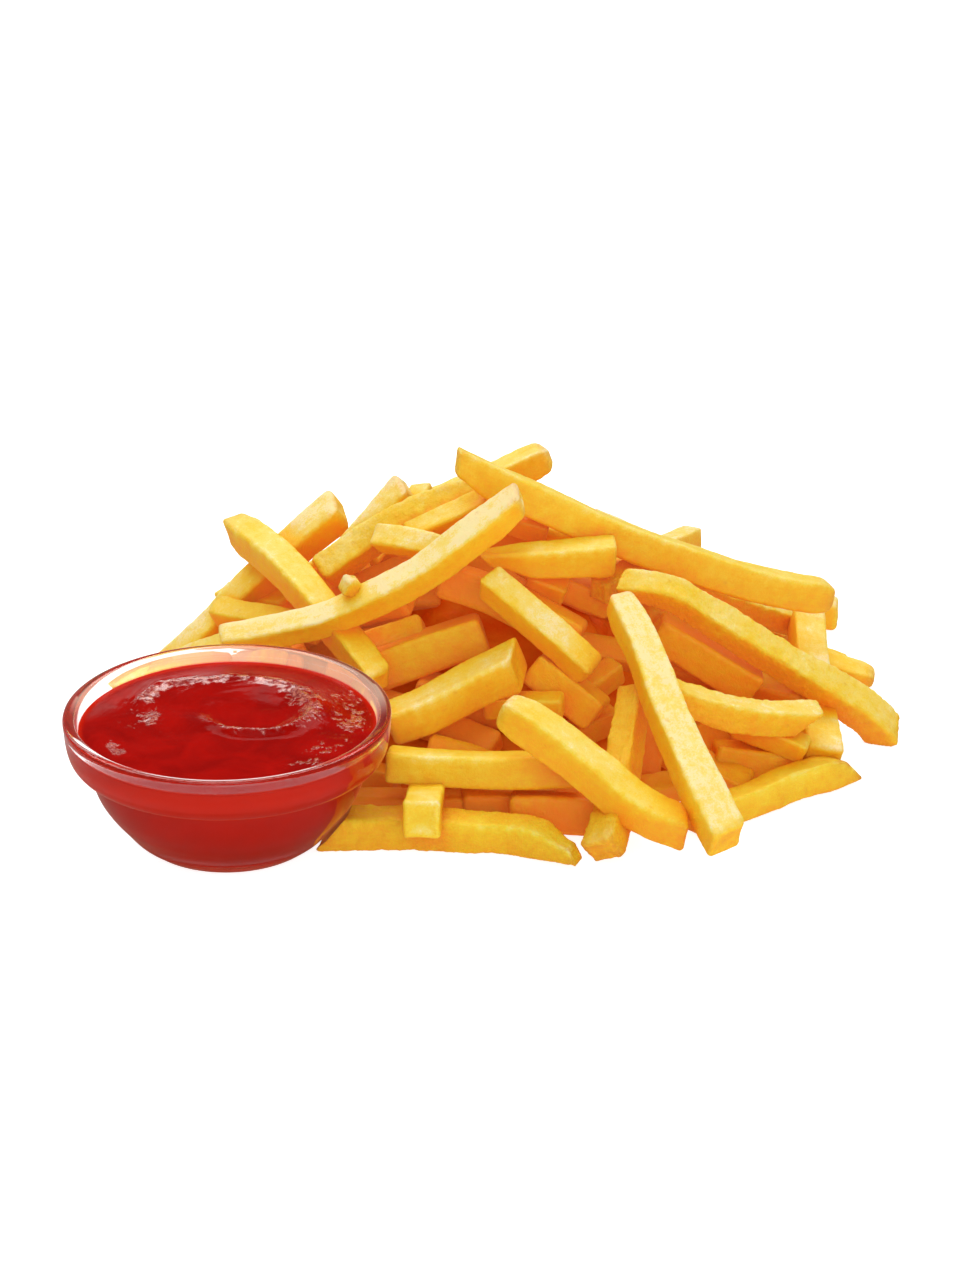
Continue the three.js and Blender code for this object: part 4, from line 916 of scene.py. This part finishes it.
def ketchup_material():
    """Deep red; ragged, glossy and grainy along the spiral ridge, with a pale pink highlight painted there, calm
    elsewhere; painted brighter orange-red against the glass, standing in for light glowing through the thin ketchup by
    the wall.
    """
    n = Nodes("tomato_ketchup")
    co = n.new("ShaderNodeTexCoord").outputs["Object"]
    painted_wall_light, wet_and_gleam = n.attr("painted_wall_light").outputs["Fac"], n.attr("wet_and_gleam").outputs["Fac"]
    a = n.noise(co, 90.0, 3.0, 0.55, 0.6)
    b = n.noise(co, 900.0, 3.0, 0.6, 0.2)
    c = n.mix(n.remap(a, 0.35, 0.68, 0.0, 1.0), srgb(146, 7, 3), srgb(170, 11, 4))
    # painted highlight: pale pink mixed into the colour on the glossy, grainy ridge
    c = n.mix(n.math("MULTIPLY", wet_and_gleam, n.remap(b, 0.46, 0.62, 0.0, 0.6)), c, srgb(236, 128, 100))
    # painted light: brighter orange-red where the ketchup lies against the glass
    c = n.mix(n.math("MULTIPLY", painted_wall_light, 0.95, clamp=True), c, srgb(193, 29, 4))
    p = n.principled(**{"Subsurface Weight": 0.12, "Subsurface Scale": 0.002, "Subsurface Radius": (1.0, 0.08, 0.03), "IOR": 1.42})
    p.subsurface_method = "RANDOM_WALK"
    n.link(c, p.inputs["Base Color"])
    n.link(n.remap(wet_and_gleam, 0.0, 0.8, 0.06, 1.0), p.inputs["Specular IOR Level"])
    n.link(wet_and_gleam, p.inputs["Coat Weight"])
    p.inputs["Coat Roughness"].default_value = 0.06
    p.inputs["Coat IOR"].default_value = 1.7
    n.link(n.remap(b, 0.3, 0.7, 0.10, 0.20), p.inputs["Roughness"])
    h = n.math("ADD", n.math("MULTIPLY", n.math("MULTIPLY", b, 1.1), n.math("ADD", wet_and_gleam, 0.05)), n.math("MULTIPLY", a, 0.4))
    n.link(n.bump(h, 0.35, 0.0008), p.inputs["Normal"])
    return n.m


smooth_skin = fry_material("fried_skin")
bubbly_skin = fry_material("fried_skin_bubbly", rough_skin=True)
# the skin of the fries inside the heap, darkened as painted shade
shaded_inner_skin = fry_material("fried_skin_inside_shaded", inner_shade=0.18)
for key, mat in (("fries_front", smooth_skin), ("fries_middle", smooth_skin), ("fries_upper", smooth_skin), ("fries_rough", bubbly_skin), ("fries_back", smooth_skin), ("fries_under", shaded_inner_skin)):
    fry_pieces[key].data.materials.append(mat)
core_ob.data.materials.append(core_shade_material())
bowl_ob.data.materials.append(glass_material())
ketchup_ob.data.materials.append(ketchup_material())
bowl_ob.visible_shadow = False

# ------------------------------------------------------------------ riding and replacing
heap_pieces = list(fry_pieces.values()) + [core_ob]
for ob in heap_pieces:
    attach(ob, "root")
    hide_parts("fries_heap")
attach(bowl_ob, "root"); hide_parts("glass_bowl")
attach(ketchup_ob, "root"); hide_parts("ketchup")

# ------------------------------------------------------------------ floor, light, camera
floor_me = bpy.data.meshes.new("floor")
W = 8.0
floor_me.from_pydata([(-W, -W, -0.0002), (W, -W, -0.0002), (W, W, -0.0002), (-W, W, -0.0002)], [], [(0, 1, 2, 3)])
floor = bpy.data.objects.new("floor", floor_me)
bpy.context.scene.collection.objects.link(floor)
fn = Nodes("white_floor")
path = fn.new("ShaderNodeLightPath")
diff = fn.new("ShaderNodeBsdfDiffuse")
diff.inputs["Color"].default_value = (0.60, 0.60, 0.60, 1)
glow = fn.new("ShaderNodeEmission")
glow.inputs["Color"].default_value = (1, 1, 1, 1)
glow.inputs["Strength"].default_value = 0.85
add = fn.new("ShaderNodeAddShader")
fn.link(diff.outputs[0], add.inputs[0]); fn.link(glow.outputs[0], add.inputs[1])
soft = fn.new("ShaderNodeBsdfDiffuse")
soft.inputs["Color"].default_value = (0.70, 0.69, 0.67, 1)
faint = fn.new("ShaderNodeEmission")
faint.inputs["Color"].default_value = (1.0, 0.97, 0.92, 1)
faint.inputs["Strength"].default_value = 0.30
both = fn.new("ShaderNodeAddShader")
fn.link(soft.outputs[0], both.inputs[0]); fn.link(faint.outputs[0], both.inputs[1])
dark = fn.new("ShaderNodeBsdfDiffuse")
dark.inputs["Color"].default_value = (0.22, 0.22, 0.22, 1)
m1 = fn.new("ShaderNodeMixShader"); m2 = fn.new("ShaderNodeMixShader")
first = fn.math("MULTIPLY", path.outputs["Is Glossy Ray"], fn.math("LESS_THAN", path.outputs["Transmission Depth"], 0.5))
fn.link(first, m1.inputs[0]); fn.link(add.outputs[0], m1.inputs[1]); fn.link(dark.outputs[0], m1.inputs[2])
fn.link(fn.math("GREATER_THAN", path.outputs["Diffuse Depth"], 0.5), m2.inputs[0]); fn.link(m1.outputs[0], m2.inputs[1]); fn.link(both.outputs[0], m2.inputs[2])
fn.link(m2.outputs[0], fn.out.inputs["Surface"])
floor_me.materials.append(fn.m)

world = bpy.data.worlds.new("studio")
bpy.context.scene.world = world
world.use_nodes = True
wt = world.node_tree
wt.nodes.clear()
wo = wt.nodes.new("ShaderNodeOutputWorld")
wpath = wt.nodes.new("ShaderNodeLightPath")


def sky(strength):
    b = wt.nodes.new("ShaderNodeBackground")
    b.inputs["Strength"].default_value = strength
    b.inputs["Color"].default_value = (1, 1, 1, 1)
    return b.outputs[0]


def pick(flag, no, yes):
    m = wt.nodes.new("ShaderNodeMixShader")
    wt.links.new(flag, m.inputs[0])
    wt.links.new(no, m.inputs[1])
    wt.links.new(yes, m.inputs[2])
    return m.outputs[0]


def above_half(x):
    m = wt.nodes.new("ShaderNodeMath")
    m.operation = "GREATER_THAN"
    m.inputs[1].default_value = 0.5
    wt.links.new(x, m.inputs[0])
    return m.outputs[0]


light = sky(0.54)
shown = pick(wpath.outputs["Is Camera Ray"], light, sky(1.2))
shown = pick(wpath.outputs["Is Transmission Ray"], shown, sky(1.1))
mirrored = pick(above_half(wpath.outputs["Transmission Depth"]), sky(0.10), sky(0.9))
shown = pick(wpath.outputs["Is Glossy Ray"], shown, mirrored)
shown = pick(above_half(wpath.outputs["Diffuse Depth"]), shown, light)
wt.links.new(shown, wo.inputs["Surface"])


def softbox(name, place, aim, size, power, colour=(1, 1, 1)):
    l = bpy.data.lights.new(name, "AREA")
    l.shape = "RECTANGLE"
    l.size, l.size_y = size
    l.energy = power
    l.color = colour
    o = bpy.data.objects.new(name, l)
    o.location = place
    o.rotation_euler = (Vector(aim) - Vector(place)).to_track_quat("-Z", "Y").to_euler()
    bpy.context.scene.collection.objects.link(o)
    return o


softbox("key", (-0.10, 0.62, 1.00), (0, 0, 0.02), (1.6, 0.5), 9.0, (1.0, 0.985, 0.95))
softbox("top", (-0.15, -0.15, 1.3), (0, 0, 0.02), (0.7, 0.7), 2.5, (1.0, 0.99, 0.97))
softbox("fill", (0.35, -1.2, 0.55), (0, 0, 0.03), (1.2, 0.8), 5.0, (1.0, 0.98, 0.95))

TILT = math.radians(24.379)
cam_data = bpy.data.cameras.new("camera")
cam_data.sensor_width = 36.0
cam_data.sensor_fit = "AUTO"
cam_data.lens = 3746.7 / 1284.0 * 36.0
cam_data.clip_start, cam_data.clip_end = 0.05, 40.0
cam = bpy.data.objects.new("camera", cam_data)
eye = np.array([0.0, -1100 * math.cos(TILT), 28 + 1100 * math.sin(TILT)])
cam.location = Vector(to_frame(eye))
cam.rotation_euler = (math.pi / 2 - TILT, 0, 0)
bpy.context.scene.collection.objects.link(cam)
bpy.context.scene.camera = cam
bpy.context.scene.view_settings.view_transform = "Standard"
bpy.context.scene.view_settings.look = "None"
